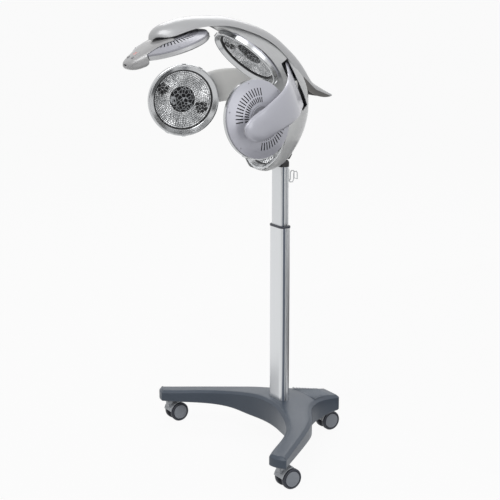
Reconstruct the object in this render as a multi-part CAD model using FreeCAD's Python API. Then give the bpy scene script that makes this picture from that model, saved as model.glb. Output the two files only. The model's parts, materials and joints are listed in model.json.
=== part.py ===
import FreeCAD, Part
import math
import os

# Hair colour processor on a wheeled stand: five heater lamps on a curved head, which slides up
# and down on a telescopic mast and tilts on top of it.
# Frame: origin on the floor under the mast's axis, +Z up, the client side faces -Y, millimetres.

V = FreeCAD.Vector
os.makedirs("parts", exist_ok=True)

# ---------------------------------------------------------------- shared fits
RUN_FIT = 0.05        # radial clearance of a pin or axle that turns
SLIDE_FIT = 0.3       # clearance of plastic guides in the mast
PART_GAP = 0.4        # gap between bodies that pass each other
SHELL = 2.6           # wall of the moulded covers
SIDE_WALL = 1.6       # side walls of the spine's rear shell, which stand just outside the rear lamp

# ---------------------------------------------------------------- casters
WHEEL_R = 32.5
WHEEL_W = 15.0
WHEEL_OFFSET = 18.5   # middle of each wheel of a twin, from the fork's middle
WHEEL_DISC_R = 23.5
CASTER_TRAIL = 25.0
CASTER_AXLE_R = 4.0
CASTER_STEM_R = 5.5
CASTER_STEM_LEN = 24.0
CASTER_NECK_R = 12.5
FORK_W = 19.0
HOOD_T = 2.2
HOOD_GAP = 2.2        # from the tyres to the hood
CASTER_H = 78.0       # floor to the top of the neck
FRONT_CASTER_X = 347.0
FRONT_CASTER_Y = -220.0
REAR_CASTER_Y = 171.0

# ---------------------------------------------------------------- base
HUB_TOP_Z = 146.0
HUB_R = 62.0
LEG_TOP_Z = 115.0
LEG_REACH = 480.0    # beyond the ends of the legs
REAR_TOP_Z = 127.0
REAR_REACH = 215.0
HUB_BOTTOM_Z = 66.0
HUB_BOTTOM_R = 105.0
LEG_BOTTOM_Z = 79.5
RIB_PITCH = 9.6
RIB_COUNT = 9
RIB_H = 2.4
RIB_W = 5.2
RIB_LEN = 74.0
RIB_START_Y = 100.0
FRAME_TUBE_W = 36.0
LEG_PATH = ((115.0, -5.0), (200.0, -58.0), (290.0, -155.0))
BALLAST_R = 88.0
BALLAST_H = 22.0

# ---------------------------------------------------------------- mast
OUTER_W = 75.0
OUTER_D = 37.0
OUTER_CORNER = 12.0
MAST_WALL = 2.0
OUTER_GROOVE_W = 6.0
OUTER_GROOVE_D = 6.0
OUTER_TOP_Z = 724.0
INNER_W = 63.5
INNER_D = 31.0
INNER_CORNER = 10.0
INNER_GROOVE_W = 12.0
INNER_GROOVE_D = 6.0
INNER_TOP_Z = 920.0
INNER_BOTTOM_Z = 384.0
COLLAR_H = 12.0
COLLAR_PROUD = 2.6
SLIDER_H = 46.0
CAP_H = 22.0
GAS_BODY_R = 11.0
GAS_BORE_R = 9.0
GAS_ROD_R = 4.5
GAS_BODY_LEN = 452.0
GAS_ROD_TOP_Z = 620.0

# ---------------------------------------------------------------- tilt joint under the head
TILT_Y = -2.0
TILT_Z = 988.0
TILT_AXLE_R = 6.0
TILT_AXLE_LEN = 92.0
TILT_BOSS_R = 14.0
TILT_NECK_W = 36.0
TILT_EAR_T = 8.0

# ---------------------------------------------------------------- mains inlet in the back of the bowl
INLET_MOUTH = V(-62, 50, 1046)
INLET_W = 29.2
INLET_H = 23.2
INLET_LEN = 34.0
INLET_WALL = 2.6
INLET_MOUTH_DEPTH = 14.0
INLET_PINS = ((-7.0, -2.0), (0.0, 2.0), (7.0, -2.0))
INLET_PIN_LEN = 10.0
INLET_WINDOW_LEN = 60.0

# ---------------------------------------------------------------- lamps (all five are alike)
LAMP_R = 117.0
BEZEL_W = 19.0
BEZEL_DEPTH = 14.0
DOME_DEPTH = 36.0
LAMP_WALL = 2.4
HUB_BOSS_R = 40.0
HUB_BOSS_H = 6.0
PIVOT_R = 9.0         # posts behind the fixed lamps, and height of the other lamps' lugs
DISH_DEPTH = 13.0
DISH_T = 1.2
EMITTER_R = 41.0
VENT_PITCH = 7.0      # degrees between vent slots
VENT_W = 3.4
VENT_RINGS = ((49.0, 64.0), (68.5, 91.0))
VENT_ARCS = ((-3.0, 98.0), (177.0, 278.0))
FRONT_VENT_ARCS = ((100.0, 236.0), (-56.0, 80.0))
RIM_SCREW_R = 2.6
RIM_SCREWS = 6
SCREW_PROUD = 0.9
LATCH_PROUD = 1.4     # bezel latches, beyond the rim
DOME_STEPS = 6        # points on the dome's curve

# lamp centres and the directions they shine
TOP_LAMP = (V(0, -134.5, 1259), V(0, -0.70, -0.715))
REAR_LAMP = (V(0, -58, 1030), V(0, -0.96, 0.27))
FRONT_LAMP = (V(0, -387, 1308), V(0, 0.294, -0.956))
SIDE_LAMP = (V(220, -235, 1109), V(-0.985, -0.105, -0.138))

# ---------------------------------------------------------------- side arms
ARM_PIVOT = V(42, 24, 0)
ARM_PIN_R = 5.0
ARM_PIN_BOTTOM_Z = 1128.0
ARM_PIN_TOP_Z = 1192.0
ARM_EYE_R = 10.5
KNEE_R = 10.0         # frame's ears above and below the arms' eyes
KNEE_T = 8.0
LEFT_SWING = 0.0      # rest angle of the left arm, outwards
RIGHT_SWING = 10.0    # rest angle of the right arm, outwards
RIGHT_LAMP_TILT = 4.0  # the right lamp rests tilted up by this much
ARM_SKIN = 2.6
ARM_SEAM = 0.3        # line between the arm's two halves
ARM_OUTER_SHARE = 0.5  # bulge of each half, as a share of the blade's thickness
ARM_INNER_SHARE = 0.2
LUG_R = 8.0           # bored lug behind a lamp that tilts
LUG_HALF = 8.0
EAR_T = 4.0           # ears each side of a lug
LAMP_PIN_R = 4.0

# ---------------------------------------------------------------- front panel
BUTTON_R = 5.0
BUTTON_H = 3.4
BUTTON_PROUD = 1.6
BUTTON_GAP = 0.35
BUTTON_X = 13.0
BUTTON_Y = -19.0
DISPLAY_W = 30.0
DISPLAY_L = 18.0
DISPLAY_T = 2.0


# ================================================================ helpers
def export(name, shape):
    shape.exportStep("parts/" + name + ".step")


def fuse(shapes):
    shapes = list(shapes)
    return shapes[0].fuse(shapes[1:]).removeSplitter() if len(shapes) > 1 else shapes[0]


def group(shapes):
    return Part.makeCompound(list(shapes))


def box(x0, x1, y0, y1, z0, z1):
    return Part.makeBox(x1 - x0, y1 - y0, z1 - z0, V(x0, y0, z0))


def cyl(r, h, at, direction=V(0, 0, 1)):
    return Part.makeCylinder(r, h, at, direction)


def cyl_x(r, half, y, z, x=0.0):
    return cyl(r, 2 * half, V(x - half, y, z), V(1, 0, 0))


def spline(points):
    curve = Part.BSplineCurve()
    curve.interpolate([V(p) for p in points])
    return curve.toShape()


def polygon(points):
    pts = [V(p) for p in points]
    return Part.Face(Part.makePolygon(pts + [pts[0]]))


def revolve_z(profile):
    """Solid of revolution about Z from (radius, z) points."""
    face = polygon([(r, 0, z) for r, z in profile])
    return face.revolve(V(0, 0, 0), V(0, 0, 1), 360)


def revolve_wire(edges):
    return Part.Face(Part.Wire(edges)).revolve(V(0, 0, 0), V(0, 0, 1), 360)


def side_band(points, width):
    """Plate of an outline in the YZ plane, centred on X = 0."""
    face = polygon([(-width / 2, y, z) for y, z in points])
    return face.extrude(V(width, 0, 0))


def mirror_x(shape):
    return shape.mirror(V(0, 0, 0), V(1, 0, 0))


def rounded_rect(w, d, r, z):
    """Flat face of a rounded rectangle, w along X and d along Y."""
    plate = box(-w / 2, w / 2, -d / 2, d / 2, z, z + 1)
    upright = [e for e in plate.Edges if abs(e.Vertexes[0].Z - e.Vertexes[-1].Z) > 0.5]
    plate = plate.makeFillet(r, upright)
    return next(f for f in plate.Faces if abs(f.CenterOfMass.z - z) < 1e-6)


def unit(v):
    v = V(v)
    v.normalize()
    return v


def between(a, b, t):
    return a + (b - a) * t


# ================================================================ casters
def caster_parts(px, py):
    """Fork, twin wheels and axle of one caster whose stem stands at (px, py)."""
    wy = py + CASTER_TRAIL
    disc_recess = 1.6
    half = WHEEL_W / 2
    edge = 3.4
    lathe = [(CASTER_AXLE_R + RUN_FIT, -half), (WHEEL_DISC_R, -half), (WHEEL_DISC_R + 1.4, -half + disc_recess),
             (WHEEL_DISC_R + 2.6, -half), (WHEEL_R - edge, -half), (WHEEL_R - 1.0, -half + 1.2),
             (WHEEL_R, -half + edge), (WHEEL_R, half - edge), (WHEEL_R - 1.0, half - 1.2),
             (WHEEL_R - edge, half), (CASTER_AXLE_R + RUN_FIT, half)]
    wheel_profile = revolve_z(lathe)
    wheels = []
    for side in (-1, 1):
        wheel = wheel_profile.copy()
        wheel.Placement = FreeCAD.Placement(V(px + side * WHEEL_OFFSET, wy, WHEEL_R),
                                            FreeCAD.Rotation(V(0, 1, 0), 90 if side < 0 else -90))
        wheels.append(wheel)
    axle_half = WHEEL_OFFSET + half - 1.2
    axle = cyl_x(CASTER_AXLE_R, axle_half, wy, WHEEL_R, px)

    stem = cyl(CASTER_STEM_R, CASTER_STEM_LEN + 8, V(px, py, CASTER_H - 8))
    neck = cyl(CASTER_NECK_R, 16, V(px, py, CASTER_H - 16))
    web_half = FORK_W / 2
    boss = cyl_x(13.0, web_half, wy, WHEEL_R, px)
    top = CASTER_H - 8
    web = polygon([(px - web_half, py - 12, top), (px - web_half, py - 12, 52), (px - web_half, wy - 12, 28),
                   (px - web_half, wy + 12, 28), (px - web_half, wy + 13, 50), (px - web_half, py + 14, top)])
    web = web.extrude(V(FORK_W, 0, 0))
    hood_r = WHEEL_R + HOOD_GAP
    hood_half = WHEEL_OFFSET + half - 3
    hood = cyl_x(hood_r + HOOD_T, hood_half, wy, WHEEL_R, px).cut(cyl_x(hood_r, hood_half + 1, wy, WHEEL_R, px))
    keep = box(px - 40, px + 40, wy - 45, wy + 6, WHEEL_R + 6, CASTER_H - 8)
    hood = hood.common(keep)
    fork = fuse([stem, neck, boss, web, hood])
    fork = fork.cut(cyl_x(CASTER_AXLE_R, web_half + 1, wy, WHEEL_R, px))
    return fork, group(wheels), axle


def build_casters():
    places = {"front_left": (FRONT_CASTER_X, FRONT_CASTER_Y), "front_right": (-FRONT_CASTER_X, FRONT_CASTER_Y),
              "rear": (0.0, REAR_CASTER_Y)}
    for name, (px, py) in places.items():
        fork, wheels, axle = caster_parts(px, py)
        export(name + "_caster_fork", fork)
        export(name + "_caster_wheels", wheels)
        export(name + "_caster_axle", axle)


# ================================================================ base
# One half of the base's outline, from the middle of the concave front edge to the rear end.
BASE_FRONT = ((0, -47), (60, -52), (115, -66), (180, -92), (225, -125), (277, -185), (338, -258))
BASE_REAR = ((393, -232), (330, -155), (256, -66), (180, 8), (115, 52), (78, 100), (58, 150), (47, 206))
REAR_CORNER_R = 12.0


def base_outline():
    """Closed wire of the three-legged plan."""
    front = [(-x, y, 0) for x, y in reversed(BASE_FRONT[1:])] + [(x, y, 0) for x, y in BASE_FRONT]
    tip_in, tip_out = V(BASE_FRONT[-1][0], BASE_FRONT[-1][1], 0), V(BASE_REAR[0][0], BASE_REAR[0][1], 0)
    end_w = BASE_REAR[-1][0]
    edges = [spline(front)]
    for s in (1, -1):
        a, b = V(s * tip_in.x, tip_in.y, 0), V(s * tip_out.x, tip_out.y, 0)
        out = unit(V(s * 0.62, -0.78, 0))
        mid = between(a, b, 0.5) + out * 7
        edges.append(Part.Arc(a, mid, b).toShape())
        edges.append(spline([(s * x, y, 0) for x, y in BASE_REAR]))
    corner = V(end_w - REAR_CORNER_R, REAR_REACH, 0)
    for s in (1, -1):
        start = V(s * end_w, BASE_REAR[-1][1], 0)
        stop = V(s * corner.x, corner.y, 0)
        knee = between(start, stop, 0.5) + unit(V(s, 1, 0)) * 3
        edges.append(Part.Arc(start, knee, stop).toShape())
    edges.append(Part.makeLine(V(corner.x, corner.y, 0), V(-corner.x, corner.y, 0)))
    return Part.Wire(Part.__sortEdges__(edges))


def top_profile(drop=0.0):
    """(radius, z) of the base's upper surface, lowered by drop."""
    points = ((0, HUB_TOP_Z), (HUB_R, HUB_TOP_Z - 1), (130, 138), (REAR_REACH, REAR_TOP_Z),
              (330, 120), (LEG_REACH, LEG_TOP_Z - 2))
    return [(r, z - drop) for r, z in points]


def under_profile():
    return [(0, HUB_BOTTOM_Z), (HUB_BOTTOM_R, HUB_BOTTOM_Z), (190, 74), (300, 78), (LEG_REACH, LEG_BOTTOM_Z)]


def base_lathe(drop, floor_drop):
    """Solid of revolution between the base's upper and lower surfaces."""
    low = [(r, z - floor_drop) for r, z in under_profile()]
    return revolve_z(top_profile(drop) + list(reversed(low)))


def pocket_plan(inset):
    """Straight-sided plan that stays inset inside the base's outline."""
    right = list(BASE_REAR) + [(BASE_REAR[-1][0] - REAR_CORNER_R / 3, REAR_REACH)]
    left = [(-x, y) for x, y in reversed(right)]
    front = [(-x, y) for x, y in reversed(BASE_FRONT[1:])] + list(BASE_FRONT)
    loop = [V(x, y, 0) for x, y in front + right + left]
    moved = []
    for i, p in enumerate(loop):
        t1, t2 = unit(p - loop[i - 1]), unit(loop[(i + 1) % len(loop)] - p)
        normal = unit(V(-t1.y - t2.y, t1.x + t2.x, 0))
        lean = max(normal.dot(V(-t1.y, t1.x, 0)), 0.5)
        moved.append(p + normal * (inset / lean))
    return polygon(moved)


def mast_tube(w, d, corner, groove_w, groove_d, z0, z1):
    """Extruded oval tube with a groove down each narrow side."""
    outer = rounded_rect(w, d, corner, z0).extrude(V(0, 0, z1 - z0))
    inner = rounded_rect(w - 2 * MAST_WALL, d - 2 * MAST_WALL, corner - MAST_WALL, z0 - 1)
    inner = inner.extrude(V(0, 0, z1 - z0 + 2))
    for s in (1, -1):
        rib_x = sorted((s * (w / 2 - groove_d - MAST_WALL), s * (w / 2 + 1)))
        half = groove_w / 2 + MAST_WALL
        inner = inner.cut(box(rib_x[0], rib_x[1], -half, half, z0 - 2, z1 + 2))
        cut_x = sorted((s * (w / 2 - groove_d), s * (w / 2 + 1)))
        outer = outer.cut(box(cut_x[0], cut_x[1], -groove_w / 2, groove_w / 2, z0 - 2, z1 + 2))
    return outer.cut(inner)


def outer_block(grow, z0, z1):
    return rounded_rect(OUTER_W + 2 * grow, OUTER_D + 2 * grow, OUTER_CORNER + grow, z0).extrude(V(0, 0, z1 - z0))


def build_base():
    cover = Part.Face(base_outline()).extrude(V(0, 0, 200)).common(base_lathe(0, 0))
    pocket = pocket_plan(2 * SHELL).extrude(V(0, 0, 200)).common(base_lathe(2 * SHELL, 3))
    cover = cover.cut(pocket)
    cover = cover.cut(outer_block(PART_GAP, HUB_BOTTOM_Z, HUB_TOP_Z + 5))
    ribs = []
    for i in range(RIB_COUNT):
        y = RIB_START_Y + i * RIB_PITCH
        half = RIB_LEN / 2 - 1.7 * i
        slope = (HUB_TOP_Z - REAR_TOP_Z) / REAR_REACH
        z = HUB_TOP_Z + 1.4 - slope * y
        ribs.append(cyl_x(RIB_W / 2, half, y, z - RIB_W / 2 + RIB_H * 0.6))
    cover = fuse([cover] + ribs)
    export("base_cover", cover)

    # welded steel frame: two front tubes, one rear tube, caster blocks and a hub plate
    frame_z0, frame_z1 = CASTER_H + 0.4, CASTER_H + CASTER_STEM_LEN
    members = []
    stems = [(FRONT_CASTER_X, FRONT_CASTER_Y), (-FRONT_CASTER_X, FRONT_CASTER_Y), (0.0, REAR_CASTER_Y)]
    for px, py in stems:
        if px:
            s = math.copysign(1, px)
            bends = [V(0, 0, 0)] + [V(s * x, y, 0) for x, y in LEG_PATH] + [V(px, py, 0)]
        else:
            bends = [V(0, 0, 0), V(px, py, 0)]
        for a, b in zip(bends, bends[1:]):
            along = unit(b - a)
            side = V(-along.y, along.x, 0) * (FRAME_TUBE_W / 2)
            tube = polygon([a + side, b + side, b - side, a - side]).extrude(V(0, 0, frame_z1 - frame_z0))
            tube.translate(V(0, 0, frame_z0))
            members.append(tube)
            members.append(cyl(FRAME_TUBE_W / 2, frame_z1 - frame_z0, b + V(0, 0, frame_z0)))
    front_edge = BASE_FRONT[0][1] + 3 * SHELL
    hub_plate = box(-HUB_R, HUB_R, front_edge, HUB_R, frame_z0, frame_z1)
    frame = fuse(members + [hub_plate])
    for px, py in stems:
        frame = frame.cut(cyl(CASTER_STEM_R + RUN_FIT, 60, V(px, py, frame_z0 - 5)))
    frame = frame.cut(outer_block(0, frame_z0 + 6, frame_z1 + 5))
    export("base_frame", frame)

    ballast = cyl(BALLAST_R, BALLAST_H, V(0, 0, frame_z1 + 0.2)).cut(outer_block(9.0, frame_z1 - 1, HUB_TOP_Z))
    ballast_front = BASE_FRONT[0][1] + SHELL + 3
    export("ballast_weight", ballast.common(box(-BALLAST_R, BALLAST_R, ballast_front, BALLAST_R, 0, HUB_TOP_Z)))

    socket_z1 = HUB_TOP_Z - 14
    socket = outer_block(8.0, frame_z1 + 0.2, socket_z1).cut(outer_block(0.0, frame_z1 - 1, socket_z1 + 1))
    export("mast_socket", socket)

    tube = mast_tube(OUTER_W, OUTER_D, OUTER_CORNER, OUTER_GROOVE_W, OUTER_GROOVE_D, frame_z0 + 6, OUTER_TOP_Z)
    export("mast_outer_tube", tube)

    # collar: a guide ring that caps the outer tube and wipes the inner tube
    z0 = OUTER_TOP_Z - COLLAR_H / 2
    ring = outer_block(COLLAR_PROUD, z0, OUTER_TOP_Z + COLLAR_H / 2)
    rim_edges = [e for e in ring.Edges if abs(e.CenterOfMass.z - z0) < 0.01 or
                 abs(e.CenterOfMass.z - OUTER_TOP_Z - COLLAR_H / 2) < 0.01]
    ring = ring.makeFillet(COLLAR_PROUD * 0.6, rim_edges)
    ring = ring.cut(outer_block(0, z0 - 1, OUTER_TOP_Z))
    bore = inner_block(SLIDE_FIT, OUTER_TOP_Z - 1, OUTER_TOP_Z + COLLAR_H)
    ring = ring.cut(bore)
    export("mast_collar", ring)

    rod_foot = frame_z0 + 6
    rod = cyl(GAS_ROD_R, GAS_ROD_TOP_Z - rod_foot, V(0, 0, rod_foot))
    piston = cyl(GAS_BORE_R - 0.08, 12, V(0, 0, GAS_ROD_TOP_Z - 12))
    foot = cyl(11.0, 8, V(0, 0, rod_foot))
    export("gas_spring_rod", fuse([rod, piston, foot]))


# ================================================================ mast
def inner_block(grow, z0, z1):
    """Solid with the inner tube's outside shape, larger by grow."""
    block = rounded_rect(INNER_W + 2 * grow, INNER_D + 2 * grow, INNER_CORNER + grow, z0).extrude(V(0, 0, z1 - z0))
    half = INNER_GROOVE_W / 2 - grow
    for s in (1, -1):
        xs = sorted((s * (INNER_W / 2 - INNER_GROOVE_D + grow), s * (INNER_W / 2 + grow + 1)))
        block = block.cut(box(xs[0], xs[1], -half, half, z0 - 1, z1 + 1))
    return block


def build_mast():
    tube = mast_tube(INNER_W, INNER_D, INNER_CORNER, INNER_GROOVE_W, INNER_GROOVE_D, INNER_BOTTOM_Z, INNER_TOP_Z)
    export("mast_inner_tube", tube)

    # plastic slider under the inner tube, guided by the bore of the outer tube
    bore_w, bore_d = OUTER_W - 2 * MAST_WALL - 2 * SLIDE_FIT, OUTER_D - 2 * MAST_WALL - 2 * SLIDE_FIT
    z1 = INNER_BOTTOM_Z - 0.1
    z0 = z1 - SLIDER_H
    slider = rounded_rect(bore_w, bore_d, OUTER_CORNER - MAST_WALL - SLIDE_FIT, z0).extrude(V(0, 0, SLIDER_H))
    for s in (1, -1):
        half = OUTER_GROOVE_W / 2 + MAST_WALL + SLIDE_FIT
        xs = sorted((s * (OUTER_W / 2 - OUTER_GROOVE_D - MAST_WALL - SLIDE_FIT), s * OUTER_W / 2))
        slider = slider.cut(box(xs[0], xs[1], -half, half, z0 - 1, z1 + 1))
    slider = slider.cut(cyl(GAS_BODY_R + 0.1, SLIDER_H + 2, V(0, 0, z0 - 1)))
    export("mast_slider", slider)

    # lockable gas spring, body up: the rod stands on the base
    g0 = z0 + 4
    body = cyl(GAS_BODY_R, GAS_BODY_LEN, V(0, 0, g0))
    bore = cyl(GAS_BORE_R, GAS_BODY_LEN - 20, V(0, 0, g0 + 10))
    body = body.cut(bore).cut(cyl(GAS_ROD_R + RUN_FIT, 14, V(0, 0, g0 - 1)))
    export("gas_spring_cylinder", body)

    # moulded cap with a plug down into the tube
    plug_w, plug_d = INNER_W - 2 * MAST_WALL - 1, INNER_D - 2 * MAST_WALL - 1
    plug = rounded_rect(plug_w, plug_d, INNER_CORNER - MAST_WALL - 0.5, INNER_TOP_Z - 24).extrude(V(0, 0, 24))
    for s in (1, -1):
        half = INNER_GROOVE_W / 2 + MAST_WALL + 0.5
        xs = sorted((s * (INNER_W / 2 - INNER_GROOVE_D - MAST_WALL - 0.5), s * INNER_W / 2))
        plug = plug.cut(box(xs[0], xs[1], -half, half, INNER_TOP_Z - 25, INNER_TOP_Z + 1))
    head = rounded_rect(INNER_W + 2.4, INNER_D + 2.4, INNER_CORNER + 1.2, INNER_TOP_Z).extrude(V(0, 0, CAP_H))
    head = head.makeFillet(9.0, [e for e in head.Edges if abs(e.CenterOfMass.z - INNER_TOP_Z - CAP_H) < 0.01])
    export("mast_cap", fuse([plug, head]))

    # tilt bracket: foot on the cap, neck up to a bored knuckle
    cap_top = INNER_TOP_Z + CAP_H
    half = TILT_NECK_W / 2
    y_back = INNER_D / 2 + 1
    neck = side_band([(-9, cap_top - 0.5), (y_back + 6, cap_top - 0.5), (y_back + 16, cap_top + 14),
                      (y_back + 8, TILT_Z - 4), (TILT_Y + TILT_BOSS_R * 0.8, TILT_Z + TILT_BOSS_R * 0.6),
                      (TILT_Y - TILT_BOSS_R * 0.8, TILT_Z + TILT_BOSS_R * 0.6),
                      (TILT_Y - TILT_BOSS_R * 0.95, TILT_Z - 5)], TILT_NECK_W)
    knuckle = cyl_x(TILT_BOSS_R, half, TILT_Y, TILT_Z)
    bracket = fuse([neck, knuckle]).cut(cyl_x(TILT_AXLE_R + RUN_FIT, half + 1, TILT_Y, TILT_Z))
    bracket = bracket.cut(fuse([plug, head]))
    export("tilt_bracket", bracket)

    # chrome hook of two wires behind the mast, for clips and brushes
    hook_wires = []
    wire_r = 1.6
    back = INNER_D / 2 + 1.3
    for x in (-9.0, 9.0):
        path = [(x, back + 1.0, 913), (x, back + 6, 913), (x, back + 10, 905), (x, back + 10, 873), (x, back + 14, 866),
                (x, back + 24, 866), (x, back + 28, 873), (x, back + 28, 893), (x, back + 32, 899),
                (x, back + 38, 899), (x, back + 42, 893), (x, back + 42, 874)]
        hook_wires.append(round_wire(path, wire_r))
    plate = box(-15, 15, back - 0.9, back + 1.1, 902, 919.5)
    tie = cyl_x(wire_r, 9.0, back + 42, 874)
    export("accessory_hook", fuse([plate, tie] + hook_wires))


def round_wire(path, r):
    """Bent round wire along straight runs, with ball corners."""
    pieces = []
    for a, b in zip(path, path[1:]):
        a, b = V(a), V(b)
        pieces.append(cyl(r, (b - a).Length, a, b - a))
        pieces.append(Part.makeSphere(r, b))
    return fuse(pieces)


# ================================================================ lamps
def lamp_axes(direction):
    """Rotation that takes local +Z to the direction a lamp shines, local +Y as near to up as can be."""
    z = unit(direction)
    x = unit(V(0, 0, 1).cross(z))
    y = z.cross(x)
    return FreeCAD.Rotation(FreeCAD.Matrix(x.x, y.x, z.x, 0, x.y, y.y, z.y, 0, x.z, y.z, z.z, 0, 0, 0, 0, 1))


def lamp_placement(lamp):
    return FreeCAD.Placement(lamp[0], lamp_axes(lamp[1]))


def dome_z(r, drop=0.0):
    """Height of the dome's outside at radius r, in the lamp's frame."""
    edge = LAMP_R - 2
    t = min(max((r - HUB_BOSS_R) / (edge - HUB_BOSS_R), 0), 1)
    return -DOME_DEPTH + (DOME_DEPTH - BEZEL_DEPTH - 5) * t ** 1.9 + drop


def dome_shell():
    edge = LAMP_R - 2
    radii = [HUB_BOSS_R + (edge - HUB_BOSS_R) * i / DOME_STEPS for i in range(DOME_STEPS + 1)]
    outer = [V(r, 0, dome_z(r)) for r in radii]
    inner = [V(r - LAMP_WALL * (i / DOME_STEPS), 0, dome_z(r, LAMP_WALL)) for i, r in enumerate(radii)]
    rim_z = -BEZEL_DEPTH - 0.2
    boss_z = -DOME_DEPTH - HUB_BOSS_H
    lines = [outer[-1], V(edge, 0, rim_z), V(edge - LAMP_WALL, 0, rim_z), inner[-1]]
    hub = [V(inner[0].x, 0, inner[0].z), V(0, 0, inner[0].z), V(0, 0, boss_z), V(11, 0, boss_z),
           V(12.5, 0, boss_z + 2.5), V(16, 0, boss_z + 2.5), V(17.5, 0, boss_z + 0.6), V(24, 0, boss_z + 0.9),
           V(25.5, 0, boss_z + 3.2), V(29, 0, boss_z + 3.4), V(HUB_BOSS_R - 0.5, 0, boss_z + 4.6), outer[0]]
    edges = [spline(outer)] + Part.makePolygon(lines).Edges + [spline(list(reversed(inner)))]
    edges += Part.makePolygon(hub).Edges
    return revolve_wire(edges)


def vent_cutters(arcs):
    cutters = []
    for a0, a1 in arcs:
        count = int((a1 - a0) / VENT_PITCH)
        for i in range(count + 1):
            angle = a0 + i * VENT_PITCH
            for r0, r1 in VENT_RINGS:
                slot = box(r0, r1, -VENT_W / 2, VENT_W / 2, -DOME_DEPTH - 5, -BEZEL_DEPTH - 2)
                slot.rotate(V(0, 0, 0), V(0, 0, 1), angle)
                cutters.append(slot)
    return cutters


def lamp_solids(arcs=VENT_ARCS):
    """Housing, bezel, reflector and emitter of one lamp in its own frame."""
    housing = dome_shell().cut(group(vent_cutters(arcs)))
    screws = []
    for i in range(RIM_SCREWS):
        a = math.radians(60 * i + 15)
        r = LAMP_R - 8
        screws.append(cyl(RIM_SCREW_R, 3.0, V(r * math.cos(a), r * math.sin(a), dome_z(r) - SCREW_PROUD)))
    housing = fuse([housing] + screws)

    r_in = LAMP_R - BEZEL_W
    lip = Part.Arc(V(LAMP_R, 0, -4), V(LAMP_R - 1.6, 0, -1.2), V(LAMP_R - 4.5, 0, 0)).toShape()
    rest = Part.makePolygon([V(LAMP_R - 4.5, 0, 0), V(LAMP_R - 7, 0, -0.4), V(r_in + 1, 0, -8.5), V(r_in, 0, -9.5),
                             V(r_in, 0, -BEZEL_DEPTH), V(LAMP_R, 0, -BEZEL_DEPTH), V(LAMP_R, 0, -4)]).Edges
    bezel = revolve_wire([lip] + rest)
    latches = []
    for a in (-90, -62, 90, 118):
        latch = box(LAMP_R - 9, LAMP_R + LATCH_PROUD, -6, 6, -BEZEL_DEPTH + 1, -1.4)
        latch.rotate(V(0, 0, 0), V(0, 0, 1), a)
        latches.append(latch)
    bezel = fuse([bezel] + latches)

    flange_z = -BEZEL_DEPTH - 0.1
    flange_r = LAMP_R - 2 - LAMP_WALL - 1.5
    hole = EMITTER_R + 1.0
    dish = [(flange_r, flange_z), (r_in - 1, flange_z)]
    back = [(r_in - 1.5, flange_z - DISH_T), (flange_r, flange_z - DISH_T)]
    steps = 5
    front_curve, back_curve = [], []
    for i in range(steps + 1):
        r = r_in - 1 + (hole - r_in + 1) * i / steps
        t = (r_in - 1 - r) / (r_in - 1 - hole)
        z = flange_z - DISH_DEPTH * (1 - (1 - t) ** 2) * 0.9
        front_curve.append((r, z))
        back_curve.append((r, z - DISH_T))
    profile = dish[:1] + front_curve + list(reversed(back_curve[1:])) + back
    reflector = revolve_z(profile)

    ez = flange_z - DISH_DEPTH * 0.9 - DISH_T - 0.2
    disc = Part.makePolygon([V(0, 0, ez - 2.6), V(EMITTER_R, 0, ez - 2.6), V(EMITTER_R, 0, ez)]).Edges
    rise = 4.4
    sphere_r = (EMITTER_R ** 2 + rise ** 2) / (2 * rise)
    half_way = V(EMITTER_R / 2, 0, ez + rise - sphere_r + math.sqrt(sphere_r ** 2 - EMITTER_R ** 2 / 4))
    crown = Part.Arc(V(EMITTER_R, 0, ez), half_way, V(0, 0, ez + rise)).toShape()
    close = Part.makeLine(V(0, 0, ez + rise), V(0, 0, ez - 2.6))
    plate = Part.Face(Part.Wire(Part.__sortEdges__(disc + [crown, close]))).revolve(V(0, 0, 0), V(0, 0, 1), 360)
    back_z = -DOME_DEPTH + LAMP_WALL
    stem = cyl(7.0, abs(back_z - (ez - 2.6)) + 0.5, V(0, 0, back_z))
    emitter = fuse([plate, stem])
    return {"housing": housing, "bezel": bezel, "reflector": reflector, "emitter": emitter}


def lamp_space(front):
    """Block that clears a lamp's housing and bezel, reaching front ahead of the rim's plane."""
    edge = LAMP_R - 2
    clear = PART_GAP + SCREW_PROUD
    profile = [(0, -DOME_DEPTH - HUB_BOSS_H - PART_GAP), (HUB_BOSS_R + PART_GAP, -DOME_DEPTH - HUB_BOSS_H - PART_GAP)]
    for i in range(DOME_STEPS + 1):
        r = HUB_BOSS_R + (edge - HUB_BOSS_R) * i / DOME_STEPS
        profile.append((r + PART_GAP, dome_z(r) - clear))
    rim = LAMP_R + LATCH_PROUD + PART_GAP
    profile += [(rim, -BEZEL_DEPTH - PART_GAP), (rim, front), (0, front)]
    return revolve_z(profile)


def placed(shape, placement):
    out = shape.copy()
    out.Placement = placement
    return out


# ================================================================ crest
# Stations along the crest's crown: y, z, half width, drop of the rim below the crown.
CREST = ((-461, 1334, 12, 4), (-457, 1350, 30, 15), (-443, 1366, 45, 29), (-415, 1380, 55, 35),
         (-376, 1391, 60, 34), (-325, 1398, 62, 30), (-268, 1399, 62, 28), (-210, 1395, 61, 28),
         (-150, 1380, 59, 29), (-90, 1359, 57, 31), (-30, 1327, 54, 34), (25, 1283, 51, 38),
         (68, 1240, 47, 43), (100, 1196, 42, 43), (128, 1170, 35, 36), (157, 1154, 24, 26),
         (182, 1141, 11, 14), (196, 1134, 3, 4))
CREST_T = 3.0
CREST_POWER = 2.5


def station_frame(stations, i):
    """Point, and the unit normal pointing under the curve, of station i in the YZ plane."""
    y, z = stations[i][0], stations[i][1]
    y0, z0 = stations[max(i - 1, 0)][:2]
    y1, z1 = stations[min(i + 1, len(stations) - 1)][:2]
    t = unit(V(0, y1 - y0, z1 - z0))
    return V(0, y, z), V(0, t.z, -t.y)


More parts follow.
